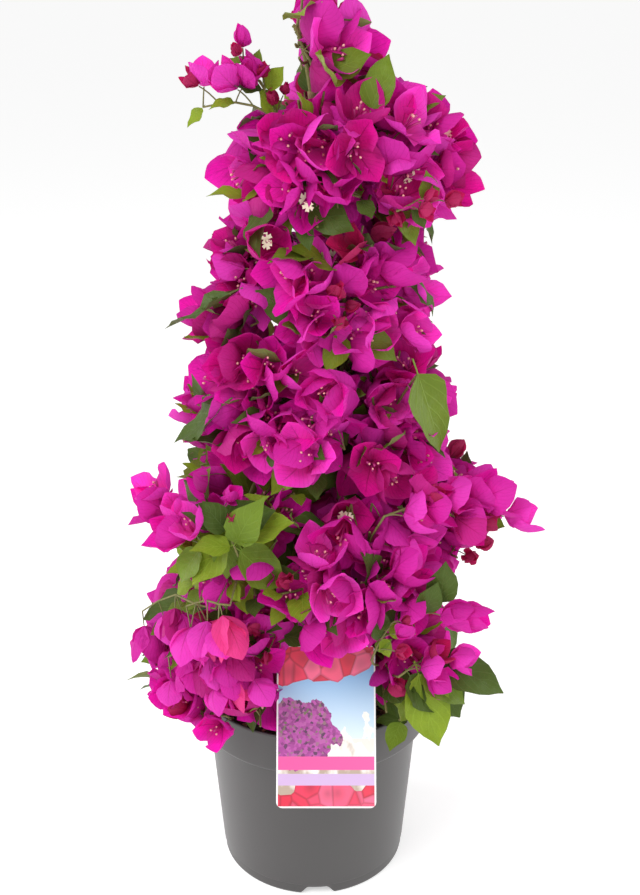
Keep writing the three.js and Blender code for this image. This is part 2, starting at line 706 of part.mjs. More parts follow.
addNode('pot', potSolid(), materials.pot);
addNode('soil', soilSolid(), materials.soil);
addNode('card', cardSolid().subtract(pegHole()), materials.card);
addNode('card_peg', pegSolid(), materials.peg);
for (const [name, { points, radii }] of Object.entries(stemLimbs)) {
  addNode(name, limbSolid(points, radii, stemSides, true), materials.bark);
}
for (const [name, limb] of Object.entries(boughLimbs)) {
  addNode(name, boughSolid(limb), materials.bark);
}
for (const mass of masses) {
  addNode(mass.name, massSolid(mass), mass.leafy > 0.6 ? materials.leaves : materials.bracts);
}

export default bush;
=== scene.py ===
import math

import bmesh
import bpy
import numpy as np
from mathutils import Matrix, Vector, noise


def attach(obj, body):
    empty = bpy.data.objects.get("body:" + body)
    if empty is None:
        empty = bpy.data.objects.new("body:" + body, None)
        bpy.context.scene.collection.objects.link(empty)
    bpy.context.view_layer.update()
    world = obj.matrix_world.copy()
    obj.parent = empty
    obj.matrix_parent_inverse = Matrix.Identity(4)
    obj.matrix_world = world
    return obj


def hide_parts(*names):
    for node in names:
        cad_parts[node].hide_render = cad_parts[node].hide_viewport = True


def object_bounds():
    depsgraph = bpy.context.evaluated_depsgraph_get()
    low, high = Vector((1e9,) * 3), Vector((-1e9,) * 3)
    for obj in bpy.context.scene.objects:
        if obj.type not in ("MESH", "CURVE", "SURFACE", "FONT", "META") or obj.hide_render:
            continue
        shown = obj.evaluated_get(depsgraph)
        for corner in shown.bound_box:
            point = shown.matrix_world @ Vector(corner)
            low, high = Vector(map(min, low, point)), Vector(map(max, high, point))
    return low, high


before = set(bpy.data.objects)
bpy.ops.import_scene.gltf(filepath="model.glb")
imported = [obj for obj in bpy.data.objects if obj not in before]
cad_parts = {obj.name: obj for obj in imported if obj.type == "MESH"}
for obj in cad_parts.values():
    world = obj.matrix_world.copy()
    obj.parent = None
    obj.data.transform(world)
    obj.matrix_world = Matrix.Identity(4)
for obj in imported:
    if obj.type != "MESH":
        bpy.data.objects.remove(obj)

cad_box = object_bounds()

# ---- Camera ----
# A normal lens at about the height of the plant's top, level across and looking down on the pot.
view_down = math.radians(22)
camera_data = bpy.data.cameras.new("camera")
camera_data.lens = 49.8
camera_data.sensor_width = 36
camera = bpy.data.objects.new("camera", camera_data)
camera.location = (0.0052, -0.779, 0.637)
camera.rotation_euler = (math.pi / 2 - view_down, 0, 0)
bpy.context.scene.collection.objects.link(camera)
bpy.context.scene.camera = camera

# ---- Studio ----
# A wide white floor under soft light from all round, with one large lamp over the plant's left
# shoulder, one low on each side that rims the pot, and a weak one in front.
bpy.context.scene.view_settings.view_transform = "Standard"


def add_nodes(tree, **kinds):
    """New nodes of a tree by name."""
    return {name: tree.nodes.new(kind) for name, kind in kinds.items()}


def shader_of(material):
    """The material's node tree and its Principled BSDF."""
    material.use_nodes = True
    tree = material.node_tree
    return tree, tree.nodes["Principled BSDF"]


def set_inputs(node, **values):
    """Sets a node's plain inputs by name, with _ for each space."""
    for label, value in values.items():
        node.inputs[label.replace("_", " ")].default_value = value


world = bpy.data.worlds.new("studio")
world.use_nodes = True
set_inputs(world.node_tree.nodes["Background"], Color=(1, 1, 1, 1), Strength=0.62)
bpy.context.scene.world = world

floor_half = 20
floor_mesh = bpy.data.meshes.new("floor")
floor_mesh.from_pydata(
    [(sx * floor_half, sy * floor_half, 0) for sx, sy in ((-1, -1), (1, -1), (1, 1), (-1, 1))],
    [], [(0, 1, 2, 3)])
floor = bpy.data.objects.new("floor", floor_mesh)
floor_material = bpy.data.materials.new("white floor")
_, floor_shader = shader_of(floor_material)
set_inputs(floor_shader, Base_Color=(0.85, 0.85, 0.85, 1), Roughness=0.9, Specular_IOR_Level=0,
           Emission_Color=(1, 1, 1, 1), Emission_Strength=0.42)
floor_mesh.materials.append(floor_material)
bpy.context.scene.collection.objects.link(floor)


def add_lamp(name, place, size, power, aim=(0, 0, 0.3)):
    data = bpy.data.lights.new(name, "AREA")
    data.shape = "RECTANGLE"
    data.size, data.size_y = size
    data.energy = power
    lamp = bpy.data.objects.new(name, data)
    lamp.location = place
    lamp.rotation_euler = (Vector(aim) - Vector(place)).to_track_quat("-Z", "Y").to_euler()
    bpy.context.scene.collection.objects.link(lamp)


add_lamp("key", (-0.9, -1.1, 1.7), (0.9, 0.9), 20)
add_lamp("left", (-1.3, 0.1, 0.35), (0.5, 1.2), 9, (0, 0, 0.15))
add_lamp("right", (1.3, 0.1, 0.35), (0.5, 1.2), 9, (0, 0, 0.15))
add_lamp("front", (0.5, -1.7, 0.7), (0.8, 0.8), 7)

# ---- Pot ----
# A nursery pot of grey polypropylene, injection moulded in one piece: a tapered wall with a wide
# collar round the mouth, a step at the foot, four drainage notches and the mould's faint seams.
mm = 0.001
pot_height = 147
rim_radius = 85.8
collar_base = pot_height - 32.5
shoulder_radius = 76.6
foot_radius = 67.5
foot_height = 8.8
pot_wall = 2
pot_floor = 8
notch_wide, notch_narrow, notch_height = 24, 15, 6
notch_turn = math.radians(3)
pot_steps = 288


def rounded(profile, radius, parts=3):
    """A profile of (r, z) points with each inner corner rounded off by that radius at most."""
    points = [profile[0]]
    for before, here, after in zip(profile, profile[1:], profile[2:]):
        here = Vector(here)
        back, ahead = Vector(before) - here, Vector(after) - here
        cut = min(radius, back.length * 0.4, ahead.length * 0.4)
        start, end = here + back.normalized() * cut, here + ahead.normalized() * cut
        for i in range(parts + 1):
            t = i / parts
            points.append(start * (1 - t) ** 2 + here * 2 * t * (1 - t) + end * t * t)
    points.append(profile[-1])
    return [tuple(point) for point in points]


def lathe(profile, steps):
    """Rings of points round the z axis, as an array of profile by step by coordinate."""
    angles = np.arange(steps) * 2 * math.pi / steps
    profile = np.array([tuple(point) for point in profile])
    rings = np.empty((len(profile), steps, 3))
    rings[..., 0] = profile[:, :1] * np.cos(angles)
    rings[..., 1] = profile[:, :1] * np.sin(angles)
    rings[..., 2] = profile[:, 1:]
    return rings


def mesh_in_mm(name, points, faces, smooth=True, edges=()):
    """A mesh of points given in mm."""
    mesh = bpy.data.meshes.new(name)
    mesh.from_pydata([Vector(point) * mm for point in points], list(edges), faces)
    if smooth:
        mesh.shade_smooth()
    return mesh


def mesh_of_rings(name, rings):
    """A closed mesh of rings whose first and last ring are closed by fans."""
    count, steps = rings.shape[:2]
    vertices = [*rings.reshape(-1, 3), rings[0].mean(0), rings[-1].mean(0)]
    faces = []
    for i in range(count - 1):
        for k in range(steps):
            a, b = i * steps + k, i * steps + (k + 1) % steps
            faces.append((a, b, b + steps, a + steps))
    last = (count - 1) * steps
    for k in range(steps):
        nearby = (k + 1) % steps
        faces.append((count * steps, nearby, k))
        faces.append((count * steps + 1, last + k, last + nearby))
    return mesh_in_mm(name, vertices, faces)


def add_piece(name, mesh, material, replaced=()):
    """A finished piece of the plant's one body."""
    mesh.materials.clear()
    mesh.materials.append(material)
    piece = bpy.data.objects.new(name, mesh)
    bpy.context.scene.collection.objects.link(piece)
    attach(piece, "root")
    if replaced:
        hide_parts(*replaced)
    return piece


def inner_radius(height):
    slope = (shoulder_radius - foot_radius - 0.6) / (collar_base - foot_height)
    return foot_radius - pot_wall + slope * (height - pot_floor)


pot_profile = rounded([
    (0.5, 3), (foot_radius - 12, 3), (foot_radius - 10, 0), (foot_radius, 0),
    (foot_radius + 0.2, foot_height - 0.5), (foot_radius + 0.9, foot_height),
    (shoulder_radius, collar_base - 0.8), (rim_radius - 1.2, collar_base + 2.4),
    (rim_radius, pot_height - 1.2), (rim_radius - 0.6, pot_height),
    (rim_radius - pot_wall, pot_height - 0.2), (rim_radius - pot_wall - 0.6, collar_base + 4),
    (shoulder_radius - pot_wall, collar_base - 1), (inner_radius(pot_floor + 2), pot_floor + 2),
    (inner_radius(pot_floor) - 3, pot_floor), (0.5, pot_floor)], 2.2)
pot_rings = lathe(pot_profile, pot_steps)
pot_angle = np.arctan2(pot_rings[..., 1], pot_rings[..., 0])
off_notch = np.abs((pot_angle + math.pi / 2 - notch_turn + math.pi / 4) % (math.pi / 2) - math.pi / 4)
across = off_notch * foot_radius
slope_share = np.clip((notch_wide / 2 - across) / ((notch_wide - notch_narrow) / 2), 0, 1)
lift = notch_height * slope_share
is_foot = np.hypot(pot_rings[..., 0], pot_rings[..., 1]) > foot_radius - 11
low = np.clip(1 - pot_rings[..., 2] / foot_height, 0, 1) * is_foot
pot_rings[..., 2] += low * lift
outside = np.arange(len(pot_profile))[:, None] < len(pot_profile) // 2
for seam_angle in (math.radians(-112), math.radians(68)):
    near_seam = np.exp(-((pot_angle - seam_angle) * rim_radius / 0.7) ** 2)
    grown = 1 + 0.25 * near_seam * outside * (pot_rings[..., 2] > collar_base) / rim_radius
    pot_rings[..., :2] *= grown[..., None]
pot_mesh = mesh_of_rings("pot_moulding", pot_rings)


def new_group(name, inputs, outputs):
    """An empty shader node group with its input and output nodes; sockets are name: (kind, value)."""
    group = bpy.data.node_groups.new(name, "ShaderNodeTree")
    for label, (kind, value) in inputs.items():
        socket = group.interface.new_socket(label, in_out="INPUT", socket_type=kind)
        socket.default_value = value
    for label, kind in outputs.items():
        group.interface.new_socket(label, in_out="OUTPUT", socket_type=kind)
    return group, group.nodes.new("NodeGroupInput"), group.nodes.new("NodeGroupOutput")


def place_group(tree, group, **values):
    """The group as a node of a material's tree, with its plain input values set."""
    node = tree.nodes.new("ShaderNodeGroup")
    node.node_tree = group
    set_inputs(node, **values)
    return node


def wire(tree, nodes, links):
    """Links named nodes: (source, socket, target, socket)."""
    for source, out, target, entry in links:
        tree.links.new(nodes[source].outputs[out], nodes[target].inputs[entry])


def operate(node, operation, *values):
    """Sets a math node's operation and its plain inputs, where None leaves one to be linked."""
    node.operation = operation
    for i, value in enumerate(values):
        if value is not None:
            node.inputs[i].default_value = value


def set_ramp(node, stops, interpolation="LINEAR"):
    """A colour ramp of (place, colour) stops."""
    ramp = node.color_ramp
    ramp.interpolation = interpolation
    while len(ramp.elements) < len(stops):
        ramp.elements.new(1)
    for element, (place, color) in zip(ramp.elements, stops):
        element.position = place
        element.color = (*color, 1)


# Fine grain and slow blotches at an object's own place, shared by every material here but the floor's and the
# card's.
mottle, mottle_in, mottle_out = new_group(
    "mottle",
    {"Color": ("NodeSocketColor", (1, 1, 1, 1)), "Blotch Scale": ("NodeSocketFloat", 30.0),
     "Blotch Amount": ("NodeSocketFloat", 0.1), "Grain Scale": ("NodeSocketFloat", 900.0),
     "Grain Amount": ("NodeSocketFloat", 0.1)},
    {"Color": "NodeSocketColor", "Grain": "NodeSocketFloat", "Blotch": "NodeSocketFloat"})
m = add_nodes(
    mottle, place="ShaderNodeTexCoord", blotch="ShaderNodeTexNoise", grain="ShaderNodeTexNoise",
    blotch_by="ShaderNodeMath", grain_by="ShaderNodeMath", both="ShaderNodeMath",
    level="ShaderNodeMath", tint="ShaderNodeHueSaturation")
m |= {"given": mottle_in, "made": mottle_out}
for kind in ("blotch", "grain"):
    set_inputs(m[kind], Detail=4)
    operate(m[kind + "_by"], "MULTIPLY_ADD", None, None, 0.5)
    wire(mottle, m, [
        ("place", "Object", kind, "Vector"), ("given", kind.title() + " Scale", kind, "Scale"),
        (kind, "Fac", kind + "_by", 0), ("given", kind.title() + " Amount", kind + "_by", 1)])
operate(m["both"], "MULTIPLY")
operate(m["level"], "MULTIPLY", None, 3.6)
wire(mottle, m, [
    ("blotch_by", 0, "both", 0), ("grain_by", 0, "both", 1), ("both", 0, "level", 0),
    ("given", "Color", "tint", "Color"), ("level", 0, "tint", "Value"), ("tint", "Color", "made", "Color"),
    ("grain", "Fac", "made", "Grain"), ("blotch", "Fac", "made", "Blotch")])


def finish_material(name, color, roughness, blotch=(30, 0.1), grain=(900, 0.1), bump=0.1, depth=0.0002):
    """A material with the shared mottle in its colour and its grain as relief."""
    material = bpy.data.materials.new(name)
    tree, shader = shader_of(material)
    marks = place_group(tree, mottle, Color=(*color, 1), Blotch_Scale=blotch[0], Blotch_Amount=blotch[1],
                        Grain_Scale=grain[0], Grain_Amount=grain[1])
    relief = tree.nodes.new("ShaderNodeBump")
    set_inputs(relief, Strength=bump, Distance=depth)
    set_inputs(shader, Roughness=roughness)
    wire(tree, {"marks": marks, "relief": relief, "shader": shader}, [
        ("marks", "Color", "shader", "Base Color"), ("marks", "Grain", "relief", "Height"),
        ("relief", "Normal", "shader", "Normal")])
    return material, tree, shader, marks


pot_material, *_ = finish_material(
    "grey pot plastic", (0.047, 0.044, 0.0435), 0.38, (9, 0.12), (2600, 0.06), 0.12, 0.0001)
add_piece("pot_moulding", pot_mesh, pot_material, ["pot"])

# ---- Soil ----
# Peat and coir potting mix, filled to a finger's width under the rim and left uneven, with loose
# fibres and chips of bark lying on it.
soil_top = 137
soil_steps = 150
soil_radius = rim_radius - pot_wall - 1.1
soil_drop = 12
soil_profile = [(0.5, soil_top - soil_drop), (soil_radius - 1, soil_top - soil_drop),
                (soil_radius, soil_top - 1)]
soil_profile += [(soil_radius * (1 - i / 44), soil_top) for i in range(44)]
soil_rings = lathe(soil_profile, soil_steps)
for ring in soil_rings[3:]:
    for point in ring:
        spot = Vector((point[0], point[1], 0))
        point[2] += 2.2 * noise.noise(spot * 0.06) + 1.3 * noise.noise(spot * 0.25)
        point[2] += 0.9 * noise.noise(spot * 0.8)
        point[2] = min(point[2], soil_top + 2.6)
soil_mesh = mesh_of_rings("soil_mix", soil_rings)
soil_material, *_ = finish_material(
    "dark potting mix", (0.032, 0.021, 0.014), 0.95, (60, 0.5), (1500, 0.9), 0.9, 0.0012)
add_piece("soil_mix", soil_mesh, soil_material, ["soil"])


def seeded(seed):
    """A repeatable stream of numbers from 0 to 1."""
    state = seed

    def draw():
        nonlocal state
        state = (state * 1664525 + 1013904223) % 2 ** 32
        return state / 2 ** 32

    return draw


def points_mesh(name, places, frames, sizes):
    """A mesh of points in mm, with a turn and a size at each for the instances."""
    mesh = mesh_in_mm(name, places, [], smooth=False)
    turn = mesh.attributes.new("turn", "QUATERNION", "POINT")
    turn.data.foreach_set("value", np.array([tuple(f.to_quaternion()) for f in frames], np.float32).ravel())
    size = mesh.attributes.new("size", "FLOAT_VECTOR", "POINT")
    size.data.foreach_set("vector", np.array(sizes, np.float32).ravel())
    return mesh


def facing(along, upper):
    """The turn that takes y to along and z as near as it can to upper."""
    along = Vector(along).normalized()
    side = along.cross(Vector(upper)).normalized()
    return Matrix((side, along, side.cross(along))).transposed()


def geometry_tree(name, made, **inputs):
    """An empty geometry node tree with its sockets, each input as name=kind."""
    tree = bpy.data.node_groups.new(name, "GeometryNodeTree")
    for label, kind in inputs.items():
        tree.interface.new_socket(label, in_out="INPUT", socket_type="NodeSocket" + kind)
    tree.interface.new_socket(made, in_out="OUTPUT", socket_type="NodeSocketGeometry")
    return tree


# Copies of a few forms on points, each turned and sized by its point, and made real.
planting = geometry_tree("planting", "Plants", Points="Geometry", Forms="Collection", Seed="Int",
                         Finish="Material")
g = add_nodes(
    planting, given="NodeGroupInput", made="NodeGroupOutput", forms="GeometryNodeCollectionInfo",
    turn="GeometryNodeInputNamedAttribute", size="GeometryNodeInputNamedAttribute",
    which="FunctionNodeRandomValue", copies="GeometryNodeInstanceOnPoints",
    real="GeometryNodeRealizeInstances", finish="GeometryNodeSetMaterial")
g["turn"].data_type = "QUATERNION"
set_inputs(g["turn"], Name="turn")
g["size"].data_type = "FLOAT_VECTOR"
set_inputs(g["size"], Name="size")
g["which"].data_type = "INT"
g["which"].inputs[4].default_value = 0
g["which"].inputs[5].default_value = 1000
set_inputs(g["forms"], Separate_Children=True, Reset_Children=True)
set_inputs(g["copies"], Pick_Instance=True)
wire(planting, g, [
    ("given", "Points", "copies", "Points"), ("given", "Forms", "forms", "Collection"),
    ("given", "Seed", "which", "Seed"), ("given", "Finish", "finish", "Material"),
    ("forms", 0, "copies", "Instance"), ("which", 2, "copies", "Instance Index"),
    ("turn", "Attribute", "copies", "Rotation"), ("size", "Attribute", "copies", "Scale"),
    ("copies", "Instances", "real", "Geometry"), ("real", "Geometry", "finish", "Geometry"),
    ("finish", "Geometry", "made", "Plants")])


def through_nodes(name, start, tree, **inputs):
    """The plain mesh that a tree of geometry nodes makes of a starting mesh."""
    holder = bpy.data.objects.new(name + "_start", start)
    bpy.context.scene.collection.objects.link(holder)
    modifier = holder.modifiers.new("nodes", "NODES")
    modifier.node_group = tree
    for item in tree.interface.items_tree:
        if item.item_type == "SOCKET" and item.in_out == "INPUT" and item.name in inputs:
            modifier[item.identifier] = inputs[item.name]
    shaped = holder.evaluated_get(bpy.context.evaluated_depsgraph_get())
    mesh = bpy.data.meshes.new_from_object(shaped)
    mesh.name = name
    bpy.data.objects.remove(holder)
    return mesh


def forms_of(name, meshes):
    """A collection of forms to copy, which the scene itself doesn't show."""
    collection = bpy.data.collections.new(name)
    for mesh in meshes:
        collection.objects.link(bpy.data.objects.new(mesh.name, mesh))
    return collection


def plant(name, places, frames, sizes, forms, material, slot, seed, replaced=()):
    """One piece of many copies."""
    start = points_mesh(name + "_points", places, frames, sizes)
    mesh = through_nodes(name, start, planting, Forms=forms, Seed=seed, Finish=material)
    return add_piece(name, mesh, material, replaced)


def chip_form(name, length, width, thick, bow):
    """A bent sliver with six sides."""
    rows = []
    for i in range(4):
        t = i / 3
        wide = width * math.sin(math.pi * (0.16 + 0.68 * t))
        lift = bow * math.sin(math.pi * t)
        rows += [(side * wide * slim, length * (t - 0.5), lift + above)
                 for side, slim, above in ((-1, 1, 0), (1, 1, 0), (1, 0.7, thick), (-1, 0.7, thick))]
    faces = [(4 * i + k, 4 * i + (k + 1) % 4, 4 * i + 4 + (k + 1) % 4, 4 * i + 4 + k)
             for i in range(3) for k in range(4)]
    return mesh_in_mm(name, rows, faces + [(3, 2, 1, 0), (12, 13, 14, 15)], smooth=False)


chip_draw = seeded(51)
chip_places, chip_frames, chip_sizes = [], [], []
for _ in range(520):
    outward, bearing = 79 * math.sqrt(chip_draw()), 2 * math.pi * chip_draw()
    place = (outward * math.cos(bearing), outward * math.sin(bearing), soil_top + 0.9 + 1.6 * chip_draw())
    turned = 2 * math.pi * chip_draw()
    tilt = (chip_draw() - 0.5, chip_draw() - 0.5, 1.6)
    chip_places.append(place)
    chip_frames.append(facing((math.cos(turned), math.sin(turned), 0.3 * (chip_draw() - 0.5)), tilt))
    chip_sizes.append([0.5 + 0.8 * chip_draw()] * 3)
chip_material, *_ = finish_material("bark chips and coir", (0.12, 0.07, 0.04), 0.9, (80, 0.9), (1800, 0.5))
plant("soil_chips", chip_places, chip_frames, chip_sizes,
      forms_of("chips", [chip_form("chip", 7, 1.3, 0.9, 0.6), chip_form("fibre", 13, 0.28, 0.4, 1.6),
                         chip_form("crumb", 3, 1.6, 1.6, 0.2)]), chip_material, "soil", 5)

# ---- Card ----
# The picture card of a nursery plant: printed board, laminated, with rounded corners and a thin white
# border. It leans back over the rim, and the peg's boss comes through its punched hole.
card_width, card_length, card_thick, card_corner = 66, 106, 0.9, 4
card_across, card_top_front, card_top_height = 9.3, 57, 202
card_lean = math.radians(31)
card_border = 1.1
hole_radius = 4.5
boss_down = 8
card_up = Vector((0, math.sin(card_lean), math.cos(card_lean)))
card_face = Vector((0, -math.cos(card_lean), math.sin(card_lean)))
card_top = Vector((card_across, -card_top_front, card_top_height))
boss_centre = card_top - card_up * boss_down


def on_card(across, up, out=0.0):
    """A place on the card in mm: across from its middle, up from its top edge, out from its back."""
    return card_top + Vector((1, 0, 0)) * across + card_up * up + card_face * out


def card_ring(inset, steps):
    """The card's outline as (across, up) points, evenly dealt over its four corners."""
    points = []
    half, corner = card_width / 2 - inset, card_corner - inset * 0.6
    for k, (sx, top) in enumerate(((1, 0), (-1, 0), (-1, 1), (1, 1))):
        centre = (sx * (half - corner), -(card_length - inset - corner) if top else -inset - corner)
        for i in range(steps + 1):
            angle = math.pi / 2 * (k + i / steps)
            points.append((centre[0] + corner * math.cos(angle), centre[1] + corner * math.sin(angle)))
    return points


def card_mesh_of(name):
    """The board with its hole: rings from the hole out to the edge on the front, the same on the back."""
    edge = card_ring(0, 6)
    bevel = card_ring(0.2, 6)
    angles = [math.atan2(up + boss_down, across) for across, up in edge]
    hole = [(hole_radius * math.cos(a), -boss_down + hole_radius * math.sin(a)) for a in angles]
    rings = [(hole, 0.1), (hole, card_thick), (bevel, card_thick), (edge, card_thick - 0.2), (edge, 0.2),
             (bevel, 0.0), (hole, 0.0)]
    count = len(edge)
    vertices = [on_card(across, up, out) * mm for ring, out in rings for across, up in ring]
    faces = []
    for i in range(len(rings)):
        for k in range(count):
            a, b = i * count + k, i * count + (k + 1) % count
            c, d = (i + 1) % len(rings) * count + (k + 1) % count, (i + 1) % len(rings) * count + k
            faces.append((a, d, c, b))
    mesh = bpy.data.meshes.new(name)
    mesh.from_pydata(vertices, [], faces)
    print_map = mesh.uv_layers.new(name="print")
    flat = [((across + card_width / 2) / card_width, (up + card_length) / card_length, ring < 5)
            for ring, (points, _) in enumerate(rings) for across, up in points]
    for loop in mesh.loops:
        u, v, is_front = flat[loop.vertex_index]
        print_map.data[loop.index].uv = (u, v) if is_front else (u + 2, v)
    return mesh


# The print: overlapping coral petals along the top and the foot, a purple shrub and pale banks of
# ground under a clear sky, and a blank pink band and a blank lilac one.
card_material = bpy.data.materials.new("printed card")
card_tree, card_shader = shader_of(card_material)
c = add_nodes(
    card_tree, place="ShaderNodeUVMap", parts="ShaderNodeSeparateXYZ", sky="ShaderNodeValToRGB",
    size="ShaderNodeMapping", petals="ShaderNodeTexVoronoi", rims="ShaderNodeTexVoronoi",
    petal="ShaderNodeSeparateXYZ", petal_tone="ShaderNodeValToRGB", rim_tone="ShaderNodeMapRange",
    throat="ShaderNodeMapRange", petal_shade="ShaderNodeMath", shaded="ShaderNodeMix",
    top_line="ShaderNodeMath", top="ShaderNodeMath", foot_line="ShaderNodeMath", foot="ShaderNodeMath",
    in_petals="ShaderNodeMath", drift="ShaderNodeTexNoise", wander="ShaderNodeMath", low="ShaderNodeMath",
    bank_tone="ShaderNodeValToRGB", fine="ShaderNodeMapping", blossom="ShaderNodeTexVoronoi",
    blossom_tone="ShaderNodeValToRGB", from_shrub="ShaderNodeVectorMath", spread="ShaderNodeMapping",
    shrub_edge="ShaderNodeMath", in_shrub="ShaderNodeMath", planted="ShaderNodeMix", field="ShaderNodeMix",
    bands="ShaderNodeValToRGB", band_mask="ShaderNodeValToRGB", banded="ShaderNodeMix",
    from_middle="ShaderNodeMath", edge_x="ShaderNodeMath", edge_y="ShaderNodeMath", edge="ShaderNodeMath",
    in_border="ShaderNodeMath", bordered="ShaderNodeMix", in_bank="ShaderNodeMath", banked="ShaderNodeMix")
c["shader"] = card_shader


c["place"].uv_map = "print"
set_inputs(c["size"], Scale=(5.6, 9, 1))
set_inputs(c["fine"], Scale=(34, 54, 1))
set_inputs(c["spread"], Location=(-0.35, -2.1, 0), Scale=(2.1, 4.6, 1))
set_ramp(c["sky"], [(0.28, (0.83, 0.79, 0.72)), (0.42, (0.78, 0.74, 0.68)), (0.425, (0.66, 0.79, 0.88)),
                    (0.95, (0.10, 0.36, 0.70))])
set_ramp(c["bank_tone"], [(0.2, (0.46, 0.36, 0.28)), (0.35, (0.84, 0.8, 0.74)), (0.52, (0.9, 0.88, 0.85)),
                          (0.62, (0.62, 0.52, 0.44)), (0.7, (0.86, 0.82, 0.78))])
set_ramp(c["petal_tone"], [(0.1, (0.66, 0.015, 0.05)), (0.45, (0.82, 0.04, 0.11)),
                           (0.9, (0.88, 0.14, 0.27))])
set_ramp(c["blossom_tone"], [(0.1, (0.10, 0.03, 0.09)), (0.35, (0.32, 0.04, 0.25)),
                             (0.65, (0.50, 0.09, 0.40)), (0.9, (0.16, 0.17, 0.08))])
set_ramp(c["bands"], [(0.0, (0.6, 0.42, 0.68)), (0.23, (0.82, 0.09, 0.33))], "CONSTANT")
set_ramp(c["band_mask"], [(0.0, (0, 0, 0)), (0.135, (1, 1, 1)), (0.205, (0, 0, 0)), (0.23, (1, 1, 1)),
                          (0.31, (0, 0, 0))], "CONSTANT")
for kind in ("petals", "rims", "blossom"):
    set_inputs(c[kind], Scale=1)
c["rims"].feature = "DISTANCE_TO_EDGE"
for kind, reach, low in (("rim_tone", 0.09, 0.6), ("throat", 0.55, 0.62)):
    set_inputs(c[kind], From_Max=reach, To_Min=low)
operate(c["petal_shade"], "MULTIPLY")
set_inputs(c["drift"], Scale=6, Detail=4)
operate(c["wander"], "MULTIPLY_ADD", None, 1.0, -0.45)
operate(c["low"], "ADD")
operate(c["top_line"], "MULTIPLY_ADD", None, -0.24)
operate(c["top"], "GREATER_THAN", None, 6.3)
operate(c["foot_line"], "MULTIPLY_ADD", None, -0.02)
operate(c["foot"], "LESS_THAN", None, 1.3)
operate(c["in_petals"], "MAXIMUM")
c["from_shrub"].operation = "LENGTH"
operate(c["shrub_edge"], "ADD")
operate(c["in_shrub"], "LESS_THAN", None, 1.0)
operate(c["from_middle"], "SUBTRACT", None, 0.5)
operate(c["edge_x"], "ABSOLUTE")
operate(c["edge_y"], "COMPARE", None, 0.5, 0.5 - card_border / card_length)
operate(c["edge"], "LESS_THAN", None, 0.5 - card_border / card_width)
operate(c["in_border"], "MULTIPLY")
operate(c["in_bank"], "LESS_THAN", None, 0.47)
for kind in ("shaded", "banked", "planted", "field", "banded", "bordered"):
    c[kind].data_type = "RGBA"
c["shaded"].blend_type = "MULTIPLY"
c["shaded"].inputs[0].default_value = 1
c["bordered"].inputs[6].default_value = (0.85, 0.85, 0.85, 1)
wire(card_tree, c, [
    ("place", "UV", "parts", 0), ("place", "UV", "size", 0), ("size", 0, "petals", "Vector"),
    ("size", 0, "rims", "Vector"), ("petals", "Color", "petal_tone", 0), ("rims", "Distance", "rim_tone", 0),
    ("petals", "Distance", "throat", 0), ("rim_tone", 0, "petal_shade", 0), ("throat", 0, "petal_shade", 1),
    ("petal_tone", 0, "shaded", 6), ("petal_shade", 0, "shaded", 7), ("petals", "Position", "petal", 0),
    ("petal", 0, "top_line", 0), ("petal", 1, "top_line", 2), ("top_line", 0, "top", 0),
    ("petal", 0, "foot_line", 0), ("petal", 1, "foot_line", 2), ("foot_line", 0, "foot", 0),
    ("top", 0, "in_petals", 0), ("foot", 0, "in_petals", 1),
    ("place", "UV", "drift", "Vector"), ("drift", "Fac", "wander", 0), ("parts", 1, "low", 0),
    ("wander", 0, "low", 1), ("parts", 1, "sky", 0), ("low", 0, "bank_tone", 0),
    ("place", "UV", "fine", 0), ("fine", 0, "blossom", "Vector"), ("blossom", "Color", "blossom_tone", 0),
    ("place", "UV", "spread", 0), ("spread", 0, "from_shrub", 0), ("from_shrub", "Value", "shrub_edge", 0),
    ("wander", 0, "shrub_edge", 1), ("shrub_edge", 0, "in_shrub", 0), ("in_shrub", 0, "planted", 0),
    ("blossom_tone", 0, "planted", 7), ("in_petals", 0, "field", 0), ("planted", 2, "field", 6),
    ("shaded", 2, "field", 7), ("parts", 1, "bands", 0), ("parts", 1, "band_mask", 0),
    ("band_mask", 0, "banded", 0), ("field", 2, "banded", 6), ("bands", 0, "banded", 7),
    ("parts", 0, "from_middle", 0), ("from_middle", 0, "edge_x", 0), ("edge_x", 0, "edge", 0),
    ("parts", 1, "edge_y", 0), ("edge", 0, "in_border", 0), ("edge_y", 0, "in_border", 1),
    ("in_border", 0, "bordered", 0), ("banded", 2, "bordered", 7), ("low", 0, "in_bank", 0),
    ("in_bank", 0, "banked", 0), ("sky", 0, "banked", 6), ("bank_tone", 0, "banked", 7),
    ("banked", 2, "planted", 6), ("bordered", 2, "shader", "Base Color")])
set_inputs(card_shader, Roughness=0.32)
add_piece("card_board", card_mesh_of("card_board"), card_material, ["card"])

# ---- Peg ----
# A dark green plastic peg, moulded in one: a flat blade pushed deep into the soil behind the card, and
# a domed boss at its head that snaps through the card's hole.
peg_width, peg_thick, peg_deep, peg_proud = 5, 2.4, 40, 5
boss_radius = 4.2
boss_start = -6.4
peg_back = -card_top_front + 0.36
peg_top = boss_centre.z + boss_down + peg_proud
peg_bottom = soil_top - peg_deep
blade_rings = []
for height, share in ((peg_bottom, 0.2), (peg_bottom + 5, 0.9), (peg_bottom + 7, 1.0), (peg_top - 1.5, 1.0),
                      (peg_top - 0.4, 0.92), (peg_top, 0.7)):
    corners = []
    for k in range(24):
        angle = 2 * math.pi * k / 24
        flat = [math.copysign(abs(f(angle)) ** 0.3, f(angle)) for f in (math.cos, math.sin)]
        corners.append((card_across + flat[0] * peg_width / 2 * share,
                        peg_back + peg_thick / 2 + flat[1] * peg_thick / 2 * share, height))
    blade_rings.append(corners)
boss_profile = [(0.3, boss_start), (boss_radius - 0.4, boss_start), (boss_radius, boss_start + 0.4),
                (boss_radius, card_thick + 0.2), (boss_radius - 0.3, card_thick + 0.7),
                (boss_radius * 0.7, card_thick + 0.95), (0.4, card_thick + 1.0)]
